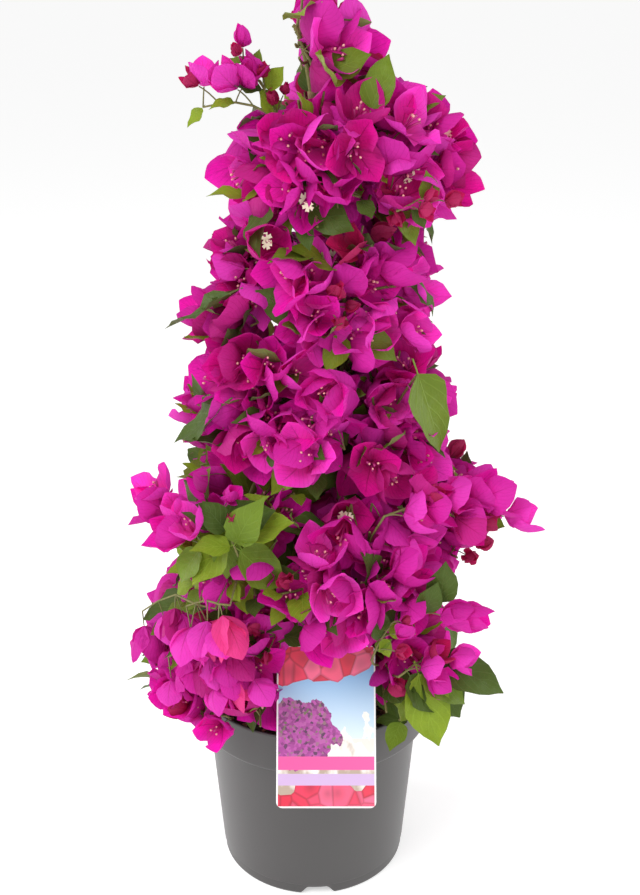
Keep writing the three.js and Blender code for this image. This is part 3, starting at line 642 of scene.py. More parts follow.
boss_rings = lathe(boss_profile, 32)
for ring in boss_rings:
    for point in ring:
        point[:] = on_card(point[0], point[1] - boss_down, point[2])


def joined(name, meshes):
    """One mesh of several."""
    whole = bmesh.new()
    for mesh in meshes:
        whole.from_mesh(mesh)
    mesh = bpy.data.meshes.new(name)
    whole.to_mesh(mesh)
    whole.free()
    return mesh


peg_mesh = joined("peg_moulding", [mesh_of_rings("blade", np.array(blade_rings)),
                                   mesh_of_rings("boss", boss_rings)])
peg_material, *_ = finish_material("green peg plastic", (0.012, 0.05, 0.024), 0.3, (40, 0.1), (2200, 0.05))
add_piece("peg_moulding", peg_mesh, peg_material, ["card_peg"])

# ---- Trunk and stems ----
# Three woody stems rise from the soil, the middle one to the top of the crown. Their bark is brown and
# ridged at the foot and turns olive and smoother as it thins, with a swelling at each old leaf scar.
clearance = 0.3
stems = {
    "trunk": (((8, 4, soil_top + clearance), (22, 2, 190), (25, 4, 250), (14, 6, 350), (10, 2, 450),
               (0, 0, 556)), 9, 6.6, 2.4),
    "stem_right": (((34, -6, soil_top + clearance), (46, -12, 200), (46, -14, 260), (40, -16, 318)),
                   5.5, 4, 2.2),
    "stem_left": (((-24, 8, soil_top + clearance), (-34, 8, 200), (-38, 4, 260), (-36, 0, 318)),
                  5.5, 3.8, 2),
}
stem_step = 28


def smooth_path(points, steps):
    """Centripetal spline through the points, sampled evenly over its spans."""
    points = np.array(points, float)
    ends = [2 * points[0] - points[1], *points, 2 * points[-1] - points[-2]]
    path = []
    for i in range(steps + 1):
        at = (len(points) - 1) * i / steps
        k = min(int(at), len(points) - 2)
        w = at - k
        before, here, ahead, beyond = ends[k:k + 4]
        d0, d1, d2 = (np.linalg.norm(b - a) ** 0.5
                      for a, b in ((before, here), (here, ahead), (ahead, beyond)))
        t1 = d1 * ((here - before) / d0 - (ahead - before) / (d0 + d1) + (ahead - here) / d1)
        t2 = d1 * ((ahead - here) / d1 - (beyond - here) / (d1 + d2) + (beyond - ahead) / d2)
        path.append(here + t1 * w + (3 * (ahead - here) - 2 * t1 - t2) * w ** 2
                    + (2 * (here - ahead) + t1 + t2) * w ** 3)
    return np.array(path)


def stem_limb(path, foot, root, tip):
    """The source's limb: its points along the middle, and its radius at each."""
    steps = round((path[-1][2] - path[0][2]) / stem_step)
    points = smooth_path(path, steps)
    return points, np.array([foot] + [root + (tip - root) * i / steps for i in range(1, steps + 1)])


stem_limbs = {name: stem_limb(*stem) for name, stem in stems.items()}


def limb_at_height(limb, height):
    """The limb's middle at a height."""
    points, _ = limb
    i = min(max(int(np.searchsorted(points[:, 2], height)) - 1, 0), len(points) - 2)
    t = (height - points[i][2]) / (points[i + 1][2] - points[i][2])
    return points[i] * (1 - t) + points[i + 1] * t


def resampled(points, radii, spacing):
    """A limb with its points closer together, on a smooth curve."""
    steps = max(2, round(np.linalg.norm(np.diff(points, axis=0), axis=1).sum() / spacing))
    path = smooth_path(points, steps)
    share = np.linspace(0, len(points) - 1, steps + 1)
    return path, np.interp(share, np.arange(len(points)), radii)


def bark_mesh(name, points, radii, sides, ridge, level_foot=False):
    """A limb swept along its path, with ridges, leaf scars and knots in its surface."""
    points, radii = resampled(points, radii, 2.5)
    rings = np.empty((len(points), sides, 3))
    across = None
    for i, point in enumerate(points):
        along = Vector(points[min(i + 1, len(points) - 1)] - points[max(i - 1, 0)]).normalized()
        if level_foot and i == 0:
            along = Vector((0, 0, 1))
        hint = across or (Vector((0, 0, 1)) if abs(along.z) < 0.8 else Vector((1, 0, 0)))
        across = (hint - along * hint.dot(along)).normalized()
        other = along.cross(across)
        scar = math.exp(-((i % 13 - 6) / 1.3) ** 2)
        for k in range(sides):
            angle = 2 * math.pi * k / sides
            spoke = across * math.cos(angle) + other * math.sin(angle)
            place = Vector(point) + spoke * radii[i]
            rough = noise.noise(Vector((place.x * 0.9, place.y * 0.9, place.z * 0.12)))
            knot = noise.noise(place * 0.12)
            radius = radii[i] * (1 + ridge * rough + 0.12 * knot + 0.14 * scar * max(0, math.sin(angle + i)))
            rings[i, k] = Vector(point) + spoke * radius
    if level_foot:
        rings[0, :, 2] = points[0][2]
    return mesh_of_rings(name, rings)


def bark_material(name, color, streak_amount, blotch):
    """Bark: the shared mottle with fine streaks up the stem in its relief."""
    material, tree, shader, marks = finish_material(name, color, 0.8, blotch, (700, 0.5))
    b = add_nodes(tree, place="ShaderNodeTexCoord", size="ShaderNodeMapping", streak="ShaderNodeTexNoise",
                  relief="ShaderNodeBump", dark="ShaderNodeMapRange", tone="ShaderNodeMix")
    b |= {"marks": marks, "shader": shader}
    set_inputs(b["size"], Scale=(900, 900, 90))
    set_inputs(b["streak"], Scale=1, Detail=5)
    set_inputs(b["relief"], Strength=0.8, Distance=0.0006)
    set_inputs(b["dark"], From_Min=0.35, From_Max=0.65, To_Min=1 - streak_amount)
    b["tone"].data_type = "RGBA"
    b["tone"].blend_type = "MULTIPLY"
    b["tone"].inputs[0].default_value = 1
    wire(tree, b, [("place", "Object", "size", 0), ("size", 0, "streak", "Vector"),
                   ("streak", "Fac", "relief", "Height"), ("streak", "Fac", "dark", 0),
                   ("dark", 0, "tone", 7), ("marks", "Color", "tone", 6), ("tone", 2, "shader", "Base Color"),
                   ("relief", "Normal", "shader", "Normal")])
    return material


brown_bark = bark_material("brown ridged bark", (0.17, 0.105, 0.055), 0.55, (60, 0.5))
for stem_name, (stem_points, stem_radii) in stem_limbs.items():
    add_piece("bark_" + stem_name, bark_mesh("bark_" + stem_name, stem_points, stem_radii, 28, 0.14, True),
              brown_bark, [stem_name])

# ---- Masses of shoots ----
# The crown is grown, not made: masses of shoots sit in tiers round the stems, each keeps its own space
# inside the crown's outline, and the lowest ones hang over the pot's rim.
# Outline: height, then the reach to the left and to the right of the pot's axis.
outline = np.array([
    (120, 98, 104), (137, 116, 122), (155, 130, 138), (183, 141, 118), (210, 121, 117),
    (236, 121, 122), (262, 131, 145), (300, 112, 129), (318, 96, 102), (345, 102, 102), (385, 84, 95),
    (415, 90, 85), (445, 66, 82), (470, 74, 80), (490, 71, 101), (530, 54, 102), (548, 80, 88),
    (570, 84, 54), (595, 54, 34), (613, 42, 24)], float)
depth_share = 0.92
# Single sprays go that far; the dense crown keeps inside a reach of its own: height, reach to a side.
# Before dense_front_from it stays above the height dense_front_low.
dense_left = np.array([(120, 130), (196, 126), (214, 98), (318, 92), (335, 102), (420, 88), (530, 58),
                       (542, 42), (556, 14), (613, 8)], float)
dense_right = np.array([(120, 106), (150, 98), (236, 94), (262, 104), (278, 142), (316, 132), (332, 104),
                        (613, 104)], float)
dense_front_low, dense_front_from = 147, 20
# Tiers from the top down: height, distance from the middle, depth, bearing of the first mass (and of
# the last, where they don't go all round), lift of the shoots' ends, share of leafy shoots by mass.
tiers = [
    (590, 0, 44, 200, None, (10, 85), (0.1,)),
    (530, 42, 84, 350, None, (-20, 60), (0.1, 0.2, 0.25)),
    (446, 46, 88, 290, None, (-25, 50), (0.1, 0.25, 0.25)),
    (360, 54, 90, 335, None, (-25, 50), (0.2, 0.25, 0.25, 0.1)),
    (276, 70, 84, 0, None, (-30, 50), (0.05, 0.3, 0.25, 0.8, 0.1)),
    (198, 78, 80, 318, None, (-35, 40), (0.3, 0.3, 0.3, 0.2, 0.1)),
    (143, 106, 46, 318, 225, (-70, -10), (0.9, 0.7, 0.4, 0.1, 0.1)),
]
solid_low, solid_high = np.array(cad_box) / mm
tip_proud = 8         # the growth's tips stand out of the solids' box by that much at most
stagger = 11
half_gap = 1.6
hanging_row = 6
bough_share = {3: 0.4, 4: 0.5, 5: 0.5, 6: 0}
crown_of = {"foliage_4_1": "stem_right", "foliage_4_3": "stem_left"}
bough_root, bough_tip, bough_drop, bough_low, bough_arch = 3, 1.9, 18, 8, 20


def reach_at(height):
    """The crown's middle, its half width and its half depth at a height."""
    left, right = (np.interp(height, outline[:, 0], outline[:, i]) for i in (1, 2))
    return (right - left) / 2, (left + right) / 2, (left + right) / 2 * depth_share


def bearing_vector(degrees):
    return np.array([math.cos(math.radians(degrees)), math.sin(math.radians(degrees)), 0])


masses = []
for row, (height, away, depth, turn, last, lift_range, leafy_shares) in enumerate(tiers):
    count = len(leafy_shares)
    sweep = 360 / count if last is None else (last - turn + 360) % 360 / (count - 1)
    for k, leafy_share in enumerate(leafy_shares):
        level = height + (stagger * (1 if k % 2 else -1) if count > 1 and last is None else 0)
        middle = np.array([reach_at(level)[0], 0, level])
        masses.append({
            "name": f"foliage_{row + 1}_{k + 1}", "row": row, "height": level, "depth": depth,
            "bearing": turn + k * sweep, "sweep": sweep, "lift": lift_range, "leafy": leafy_share,
            "centre": middle + away * bearing_vector(turn + k * sweep),
            "seed": 1000 * (row + 1) + 43 * (k + 1)})
for mass in masses:
    others = np.array([other["centre"] for other in masses if other is not mass])
    to_others = others - mass["centre"]
    mass["walls"] = to_others / np.linalg.norm(to_others, axis=1)[:, None]
    mass["wall_at"] = ((mass["centre"] + others) / 2 * mass["walls"]).sum(1) - half_gap


def is_free(points, mass, slack=0.0, outgrow=0.0):
    """Whether the points lie in the mass's own space, in the outline, and clear of pot and card."""
    points = np.atleast_2d(points)
    own = (points @ mass["walls"].T < mass["wall_at"] + slack).all(1)
    middle, across, deep = reach_at(points[:, 2])
    inside = ((points[:, 0] - middle) / (across + outgrow)) ** 2 + (points[:, 1] / (deep + outgrow)) ** 2 < 1
    inside &= (points[:, 2] < outline[-1, 0]) & (points[:, 2] > outline[0, 0] - outgrow)
    inside &= points[:, 0] > -np.interp(points[:, 2], *dense_left.T)
    inside &= points[:, 0] < np.interp(points[:, 2], *dense_right.T)
    inside &= (points[:, 2] > dense_front_low) | (points[:, 1] > dense_front_from)
    inside &= ((points > solid_low - tip_proud) & (points < solid_high + tip_proud)).all(1)
    off_pot = (points[:, 2] > pot_height + 2) | (np.hypot(points[:, 0], points[:, 1]) > rim_radius + 2)
    beside = np.abs(points[:, 0] - card_across) > card_width / 2 + 3
    behind = (points - np.array(card_top)) @ np.array(card_face) < -4 - peg_thick
    off_card = beside | behind | (points[:, 2] > peg_top + 3)
    return own & inside & off_pot & off_card


def bough_limb(mass):
    """The bough that carries a mass: an arch over the rim in the lowest tier, a rising one above."""
    hangs = mass["row"] == hanging_row
    height = soil_top + bough_low if hangs else mass["height"] - bough_drop
    reaching = [limb for limb in stem_limbs.values() if limb[0][-1][2] > height + 4]
    start = min((limb_at_height(limb, height) for limb in reaching),
                key=lambda place: math.hypot(*(place - mass["centre"])[:2]))
    if hangs:
        tip = np.array([0, 0, pot_height + 8]) + (rim_radius + 13) * bearing_vector(mass["bearing"])
        bend = start * 0.4 + tip * 0.6 + np.array([0, 0, bough_arch])
    else:
        share = bough_share[mass["row"]]
        tip = (1 - share) * np.array([start[0], start[1], mass["height"] - 6]) + share * mass["centre"]
        bend = (start + tip) / 2 - np.array([0, 0, 4])
    steps = 6 if hangs else 3
    t = np.linspace(0, 1, steps + 1)[:, None]
    points = start * (1 - t) ** 2 + bend * 2 * t * (1 - t) + tip * t ** 2
    return points, bough_root + (bough_tip - bough_root) * t[:, 0]


bough_limbs = {mass["name"]: bough_limb(mass) for mass in masses
               if mass["row"] in bough_share and mass["name"] not in crown_of}
bough_meshes = [bark_mesh("bough", *limb, 14, 0.1) for limb in bough_limbs.values()]
green_bark = bark_material("olive young bark", (0.15, 0.12, 0.045), 0.4, (60, 0.4))
add_piece("bark_boughs", joined("bark_boughs", bough_meshes), green_bark,
          [name.replace("foliage", "bough") for name in bough_limbs])

# ---- Shoots ----
# From each mass's stem the twigs run out to the crown's surface. A flowering one ends in a small truss
# of flowers on thin stalks, with a leaf or two below it; a leafy one ends in a whorl of leaves.
shoots_per_mass = 36
shoot_tries = 900
shoot_apart = 11
outer_share = 0.7
outer_inset, inner_inset = (24, 10), (46, 20)     # the ends' distance from the outline, and more by draw
size_from, size_more = 0.86, 0.24
stalk_from, stalk_more = 8, 7
star_share = 0.05     # of the flowers, with their tubes open
whorl_count, whorl_step = 5, 0.13
roots_from, roots_to = 0.1, 0.96
flower_apart = 11.5
leaf_apart = 14
leaf_length, leaf_width = 44, 28
bract_length = 31
bract_open, leaf_open = 34, 54
golden_turn = math.radians(137.5)
young_share = 0.04    # of the flowering shoots, with a few closed young bracts
behind_card_past, behind_card_further = 14, 46
leaf_below_flowers = 0.32
twig_root, twig_tip, stalk_radius = 1.15, 0.75, 0.5

twigs = []          # each: points along its middle and a radius at each
flowers = []        # each: base, axis, roll, size, opening, tone, whether its tubes are open
leaves = []         # each: base, along, upper, length, width, tone
nearby = {}         # the places kept so far, by kind


def is_apart(kind, place, room):
    """Whether nothing of that kind has been kept within a distance."""
    kept = nearby.get(kind)
    return not kept or np.linalg.norm(np.array(kept) - place, axis=1).min() > room


def keep_place(kind, place):
    nearby.setdefault(kind, []).append(place)


def unit(vector):
    return vector / np.linalg.norm(vector)


def spokes_round(axis, roll, count=3):
    """Directions square to an axis, evenly round it."""
    hint = np.array([0, 0, 1.0]) if abs(axis[2]) < 0.9 else np.array([1.0, 0, 0])
    across = unit(np.cross(axis, hint))
    other = np.cross(axis, across)
    turns = [roll + 2 * math.pi * k / count for k in range(count)]
    return [across * math.cos(turn) + other * math.sin(turn) for turn in turns]


def tilted(axis, spoke, degrees):
    return axis * math.cos(math.radians(degrees)) + spoke * math.sin(math.radians(degrees))


def bent_twig(start, bend, end, root, tip, steps=6):
    """A twig that starts at one point, passes a second halfway and ends at a third."""
    control = 2 * bend - (start + end) / 2
    t = np.linspace(0, 1, steps + 1)[:, None]
    points = start * (1 - t) ** 2 + control * 2 * t * (1 - t) + end * t ** 2
    return points, root + (tip - root) * t[:, 0]


def stalk_to(start, end, lift, radius):
    """A thin stalk with a slight bow."""
    return bent_twig(start, (start + end) / 2 + np.array([0, 0, lift]), end, radius, radius * 0.8, 3)


def add_flower(mass, root, base, axis, size, opening, tone, draw, slack=7.0, outgrow=4.0):
    """Keeps a flower and its stalk where its three tips are free and no other is too near."""
    roll = 2 * math.pi * draw()
    is_open = draw() < star_share
    length = size * bract_length
    heart = base + axis * length * 0.45
    tips = [base + tilted(axis, spoke, opening) * length for spoke in spokes_round(axis, roll)]
    if not is_free(np.array([*tips, base]), mass, slack, outgrow).all():
        return False
    if not is_apart("flower", heart, flower_apart * size):
        return False
    keep_place("flower", heart)
    flowers.append((base, axis, roll, size, opening, tone, is_open))
    twigs.append(stalk_to(root, base, 0.8, stalk_radius))
    return True


def add_leaf(mass, root, along, upper, length, width, tone, slack=7.0, outgrow=5.0):
    """Keeps a leaf where it is free and no other is too near. Its stalk is part of its own form."""
    middle = root + along * length * 0.65
    tip = root + along * length * 1.15
    if not is_free(np.array([middle, tip]), mass, slack, outgrow).all():
        return False
    if not is_apart("leaf", middle, leaf_apart):
        return False
    keep_place("leaf", middle)
    leaves.append((root, along, upper, length, width, tone))
    return True


def leaf_at(mass, points, share, turn, length, tone, draw, opening=leaf_open):
    """A leaf from the side of a twig, at a share of its length and a turn round it."""
    at = share * (len(points) - 1)
    i = min(int(at), len(points) - 2)
    root = points[i] + (points[i + 1] - points[i]) * (at - i)
    along_twig = unit(points[i + 1] - points[i])
    spoke = spokes_round(along_twig, turn, 1)[0]
    along = tilted(along_twig, spoke, opening)
    along = unit(along + np.array([0, 0, -0.12 + 0.3 * (draw() - 0.5)]))
    outward = unit(np.array([root[0], root[1], 0.001]))
    upper = unit(np.array([0, 0, 0.8]) + along_twig * 0.5 + outward * 0.5
                 + 0.35 * np.array([draw() - 0.5, draw() - 0.5, 0]))
    return add_leaf(mass, root, along, upper, length, length * leaf_width / leaf_length, tone)


def mass_stem(mass):
    """From the bough's tip, or from the side of the trunk, through the mass's centre."""
    limb = bough_limbs.get(mass["name"])
    if mass["name"] in crown_of:
        limb = stem_limbs[crown_of[mass["name"]]]
    trunk = stem_limbs["trunk"]
    if limb is not None:
        tip = limb[0][-1]
        onward = unit(tip - limb[0][-2])
        return tip - onward, tip + onward * 8, tip * 0.1 + mass["centre"] * 0.9
    if mass["row"] == 0:
        tip = trunk[0][-1]
        up = np.array([0, 0, 1.0])
        return tip - up, tip + up * 16, mass["centre"] + up * 4
    point = limb_at_height(trunk, mass["height"] - 10)
    return point, point * 0.65 + mass["centre"] * 0.35, mass["centre"]


def tone_of(draw, mass):
    """The colour class of a spray: most are full magenta."""
    pick = draw()
    if mass["row"] == hanging_row and pick < 0.1:
        return "coral"
    if pick < 0.26:
        return "light"
    if pick < 0.40:
        return "deep"
    return "crimson" if pick > 0.99 else "magenta"


def leaf_tone(draw, mass):
    pick = draw()
    is_young_place = mass["name"] in ("foliage_5_4", "foliage_1_1")
    if pick < (0.55 if is_young_place else 0.08):
        return "young"
    return "mid" if pick < (0.85 if is_young_place else 0.45) else "dark"


def placed_at(across, height, forward_share):
    """A place by its distance across and its height, a share of the crown's reach forward."""
    middle, half_width, half_depth = reach_at(height)
    off = min(abs(across - middle) / half_width, 0.97)
    return np.array([across, -forward_share * half_depth * math.sqrt(1 - off * off), height])


def heading(turn, forward):
    """A direction by its turn from upright, as a clock's hand, and how far it leans forward."""
    turn, forward = math.radians(turn), math.radians(forward)
    level = math.cos(forward)
    return np.array([level * math.sin(turn), -math.sin(forward), level * math.cos(turn)])


# The sprays that stand out of the crown. Each is a twig that leaves the nearest mass's stem, comes out of
# the crown at one place and arches to its tip, both given as across and height, at a share of the reach
# forward. Its flowers are dealt along its outer part, to either side in turn, round one heading; leaves
# likewise.
standing_sprays = [
    # thin and young, at the top left
    dict(out=(-15, 530), tip=(-40, 575), forward=0.3, heads=-5, spread=35, flowers=7, size=0.5, opening=15,
         tones=("magenta", "crimson", "crimson"), leaves=5, leaf=18, leaf_heads=-30, leaf_spread=90),
    dict(out=(-25, 545), tip=(-65, 548), forward=0.3, heads=0, spread=50, flowers=4, size=0.65, opening=25,
         tones=("light", "crimson", "magenta"), leaves=2, leaf=16, leaf_heads=-110, leaf_spread=30),
    # young, at the right shoulder
    dict(out=(50, 495), tip=(70, 498), forward=0.85, heads=75, spread=35, flowers=3, size=0.55, opening=22,
         tones=("crimson",), leaves=2, leaf=20, leaf_heads=90, leaf_spread=110),
    # a whorl of leaves at the left, with a flowering twig below it
    dict(out=(-45, 290), tip=(-57, 308), forward=0.95, heads=15, spread=60, flowers=2, size=0.5, opening=15,
         tones=("magenta", "crimson"), leaves=13, leaf=32, leaf_heads=0, leaf_spread=180),
    dict(out=(-60, 285), tip=(-92, 302), forward=0.95, heads=-30, spread=45, flowers=5, size=0.8, opening=32,
         tones=("light", "magenta"), leaves=3, leaf=28, leaf_heads=-135, leaf_spread=25),
    # hanging over the rim at the left
    dict(out=(-50, 262), tip=(-80, 248), forward=0.95, heads=165, spread=20, flowers=5, size=0.8, opening=26,
         tones=("light", "coral"), leaves=0),
    dict(out=(-60, 255), tip=(-118, 210), forward=0.95, heads=170, spread=25, flowers=6, size=0.8, opening=24,
         tones=("magenta", "light", "deep"), leaves=0),
    dict(out=(-45, 230), tip=(-95, 202), forward=0.95, heads=170, spread=20, flowers=6, size=0.8, opening=26,
         tones=("light", "magenta", "deep"), leaves=0),
    dict(out=(-40, 215), tip=(-65, 205), forward=0.95, heads=160, spread=25, flowers=4, size=0.7, opening=28,
         tones=("light", "coral", "magenta"), leaves=0),
    # a flowering twig at the right
    dict(out=(45, 310), tip=(108, 298), forward=0.9, heads=75, spread=45, flowers=11, size=0.75, opening=28,
         tones=("light", "magenta", "crimson", "magenta", "deep"), leaves=2, leaf=14, leaf_heads=125,
         leaf_spread=20),
    dict(out=(60, 240), tip=(80, 252), forward=0.95, heads=95, spread=20, flowers=2, size=0.85, opening=20,
         tones=("magenta",), leaves=2, leaf=30, leaf_heads=15, leaf_spread=15),
    # at the lower right, over the card's shoulder, with the large leaves under it
    dict(out=(38, 216), tip=(50, 246), forward=0.95, heads=60, spread=60, flowers=3, size=0.5, opening=16,
         tones=("crimson", "magenta"), leaves=5, leaf=14, leaf_heads=20, leaf_spread=150),
    dict(out=(56, 200), tip=(78, 206), forward=0.95, heads=80, spread=45, flowers=4, size=0.8, opening=35,
         tones=("light", "crimson", "magenta"), leaves=5, leaf=42, leaf_heads=140, leaf_spread=30),
]
for number, spray in enumerate(standing_sprays):
    draw = seeded(500 + 11 * number)
    come_out, tip = placed_at(*spray["out"], spray["forward"]), placed_at(*spray["tip"], spray["forward"])
    mass = min(masses, key=lambda mass: np.linalg.norm(mass["centre"] - come_out))
    root = mass_stem(mass)[2] * 0.7 + come_out * 0.3 - np.array([0, 0, 4])
    bow = (come_out + tip) / 2 + np.array([0, -2, 0.12 * np.linalg.norm(tip - come_out)])
    points = smooth_path([root, come_out, bow, tip], 6)
    twigs.append((points, np.linspace(twig_root * 0.8, twig_tip * 0.75, len(points))))
    outer = points[len(points) // 3:]
    for k in range(spray["flowers"]):
        for tries in range(6):
            start = outer[int((1 - 0.9 * k / spray["flowers"]) * (len(outer) - 1))]
            aside = (-1) ** k * spray["spread"] * (draw() if k else 0.3 * draw())
            axis = heading(spray["heads"] + aside, 5 + 25 * draw())
            base = start + axis * (6 + 10 * draw())
            size, opening = spray["size"] * (0.8 + 0.4 * draw()), spray["opening"] * (0.75 + 0.5 * draw())
            heart = base + axis * size * bract_length * 0.5
            if is_apart("flower", heart, flower_apart * size):
                break
        tone = spray["tones"][k % len(spray["tones"])]
        size *= 0.6 if tone == "crimson" else 1
        flowers.append((base, axis, 2 * math.pi * draw(), size, opening, tone, False))
        twigs.append(bent_twig(start, (start + base) / 2 + np.array([0, 0, 1]), base, stalk_radius,
                               stalk_radius * 0.8, 4))
        keep_place("flower", heart)
        keep_place("leaf", heart)
    for k in range(spray["leaves"]):
        for tries in range(6):
            start = outer[int((1 - 0.8 * k / spray["leaves"]) * (len(outer) - 1))]
            aside = spray["leaf_spread"] * (2 * ((k * 0.618 + 0.2 * draw()) % 1) - 1)
            along = heading(spray["leaf_heads"] + aside, 20 * draw())
            length = spray["leaf"] * (0.75 + 0.5 * draw())
            if is_apart("leaf", start + along * length * 0.6, leaf_apart * length / leaf_length * 0.8):
                break
        upper = unit(np.array([0.4 * along[0], -0.75, 0.9]) + 0.3 * np.array([draw() - 0.5, 0, draw() - 0.5]))
        leaves.append((start - along * 2, along, upper, length, length * (0.6 + 0.15 * draw()),
                       ("mid", "young", "dark")[int(2.99 * draw())]))
        keep_place("flower", start + along * length * 0.6)
        keep_place("leaf", start + along * length * 0.6)

# The largest leaves, each from the end of its stalk to its tip, with its width and tone.
show_leaves = [
    ((35, -40, 550), (45, -35, 580), 20, "mid"), ((-50, -40, 440), (-95, -25, 415), 14, "dark"),
    ((60, -40, 445), (80, -30, 425), 13, "dark"), ((65, -60, 395), (85, -55, 340), 30, "mid"),
    ((-55, -60, 375), (-90, -45, 345), 30, "dark"), ((90, 45, 160), (115, 60, 120), 32, "dark"),
]
for stalk, tip, width, tone in show_leaves:
    stalk, tip = np.array(stalk, float), np.array(tip, float)
    mass = min(masses, key=lambda mass: np.linalg.norm(mass["centre"] - (stalk + tip) / 2))
    stem = mass_stem(mass)
    start = stem[1] * 0.5 + stem[2] * 0.5
    twigs.append(bent_twig(start, (start + stalk) / 2 + np.array([0, 0, 3]), stalk, twig_root, twig_tip))
    axis = unit(tip - stalk)
    length = np.linalg.norm(tip - stalk)
    leaves.append((stalk - axis * 8 * length / leaf_length, axis,
                   unit(np.array([0.5 * axis[0], axis[1] - 0.9, 1.0])), length, width, tone))
    for share in (0.25, 0.6, 0.95):
        for kind in ("flower", "leaf"):
            keep_place(kind, stalk + (tip - stalk) * share + np.array([0, -8, 3]))

for mass in masses:
    draw = seeded(mass["seed"])
    hangs = mass["row"] == hanging_row
    stem = mass_stem(mass)
    twigs.append(bent_twig(stem[0], stem[1] * 0.5 + stem[2] * 0.5, stem[2], bough_tip, bough_tip * 0.7, 8))
    kept_ends = []
    for tries in range(shoot_tries):
        place = tries % shoots_per_mass
        bearing = mass["bearing"] + (draw() - 0.5) * mass["sweep"] * 1.2
        height = mass["height"] + (draw() - 0.5) * mass["depth"] * 1.15
        inset, further = outer_inset if draw() < outer_share else inner_inset
        inset += further * draw()
        lift = mass["lift"][0] + (mass["lift"][1] - mass["lift"][0]) * draw()
        size = size_from + size_more * draw()
        is_leafy = draw() < mass["leafy"]
        if len(kept_ends) >= shoots_per_mass:
            break
        middle, across, deep = reach_at(height)
        out = bearing_vector(bearing)
        is_beside = abs(out[0] * across - card_across) > card_width / 2 + behind_card_past
        is_above = height > card_top_height + behind_card_past
        if not (is_beside or is_above or out[1] > 0):
            inset += behind_card_further
        end = np.array([middle + out[0] * max(across - inset, 4), out[1] * max(deep - inset, 4), height])
        if not is_free(end, mass, 2)[0]:
            continue
        if any(np.linalg.norm(end - other) < shoot_apart for other in kept_ends):
            continue
        if not is_apart("end", end, shoot_apart * 0.8):
            continue
        share = roots_from + (roots_to - roots_from) * place / shoots_per_mass
        start = stem[1] * (1 - share) + stem[2] * share
        bend = (start + end) / 2 + np.array([0, 0, 6 if hangs else -3])
        points, radii = bent_twig(start, bend, end, twig_root, twig_tip)
        onward = unit(end - points[-2])
        raised = out * math.cos(math.radians(lift)) + np.array([0, 0, math.sin(math.radians(lift))])
        axis = unit(onward * 0.35 + raised * 0.65)
        turn = 2 * math.pi * draw()
        placed = 0
        if is_leafy:
            for k in range(whorl_count):
                share = 1 - k * whorl_step
                length = leaf_length * (0.42 + 0.42 * min(1, k / 3)) * size
                tone = "young" if k < 2 and draw() < 0.5 else leaf_tone(draw, mass)
                placed += leaf_at(mass, points, share, turn + k * golden_turn, length, tone, draw,
                                  30 + 12 * min(k, 3))
        else:
            tone = tone_of(draw, mass)
            scale = size * (0.86 if hangs else 1) * (0.72 if tone == "crimson" else 1)
            closed = 8 if hangs else 16 if tone == "crimson" else 0
            for k, spoke in enumerate(spokes_round(axis, turn, 4)):
                direction = tilted(axis, spoke, 18 if k == 0 else 48 + 38 * draw())
                root = points[-1] if k < 3 else points[-2]
                base = root + direction * (stalk_from + stalk_more * draw())
                opening = bract_open - closed + (30 if draw() < 0.3 else 14) * draw()
                placed += add_flower(mass, root, base, direction, scale, opening, tone, draw)
            root = points[3]
            direction = unit(tilted(unit(points[4] - root), spokes_round(axis, turn, 1)[0], 60))
            placed += add_flower(mass, root, root + direction * 14, direction, scale, bract_open, tone, draw)
            if draw() < leaf_below_flowers:
                leaf_at(mass, points, 0.75, turn + 1, leaf_length * (0.55 + 0.3 * draw()),
                        leaf_tone(draw, mass), draw)
            if draw() < young_share:
                root, direction = points[-2], tilted(axis, spokes_round(axis, turn + 2, 1)[0], 40)
                for k, spoke in enumerate(spokes_round(direction, turn)):
                    way = tilted(direction, spoke, 28)
                    add_flower(mass, root, root + way * (12 + 8 * draw()), way, 0.34 + 0.2 * draw(), 9,
                               "crimson", draw, 9, 6)
        if placed:
            twigs.append((points, radii))
            kept_ends.append(end)
            keep_place("end", end)

# Twigs are swept by nodes: chains of edges become curves, and a ring is drawn along each.
sweeping = geometry_tree("sweeping", "Twigs", Chains="Geometry", Sides="Int", Finish="Material")
s = add_nodes(
    sweeping, given="NodeGroupInput", made="NodeGroupOutput", curves="GeometryNodeMeshToCurve",
    ring="GeometryNodeCurvePrimitiveCircle", thick="GeometryNodeInputNamedAttribute",
    sweep="GeometryNodeCurveToMesh", real="GeometryNodeRealizeInstances", finish="GeometryNodeSetMaterial")
s["thick"].data_type = "FLOAT"
set_inputs(s["ring"], Radius=1)
set_inputs(s["thick"], Name="thick")
set_inputs(s["sweep"], Fill_Caps=True)
wire(sweeping, s, [
    ("given", "Chains", "curves", 0), ("given", "Sides", "ring", "Resolution"),
    ("given", "Finish", "finish", "Material"), ("curves", 0, "sweep", "Curve"),
    ("ring", "Curve", "sweep", "Profile Curve"), ("thick", "Attribute", "sweep", "Scale"),
    ("sweep", "Mesh", "real", "Geometry"), ("real", "Geometry", "finish", "Geometry"),
    ("finish", "Geometry", "made", "Twigs")])


def sweep_twigs(name, chains, sides, material, replaced=()):
    """One piece of many twigs."""
    vertices, edges, thick = [], [], []
    for points, radii in chains:
        first = len(vertices)
        vertices += list(points)
        thick += [radius * mm for radius in radii]
        edges += [(first + i, first + i + 1) for i in range(len(points) - 1)]
    start = mesh_in_mm(name + "_chains", vertices, [], smooth=False, edges=edges)
    start.attributes.new("thick", "FLOAT", "POINT").data.foreach_set("value", thick)
    mesh = through_nodes(name, start, sweeping, Sides=sides, Finish=material)
    mesh.shade_smooth()
    return add_piece(name, mesh, material, replaced)


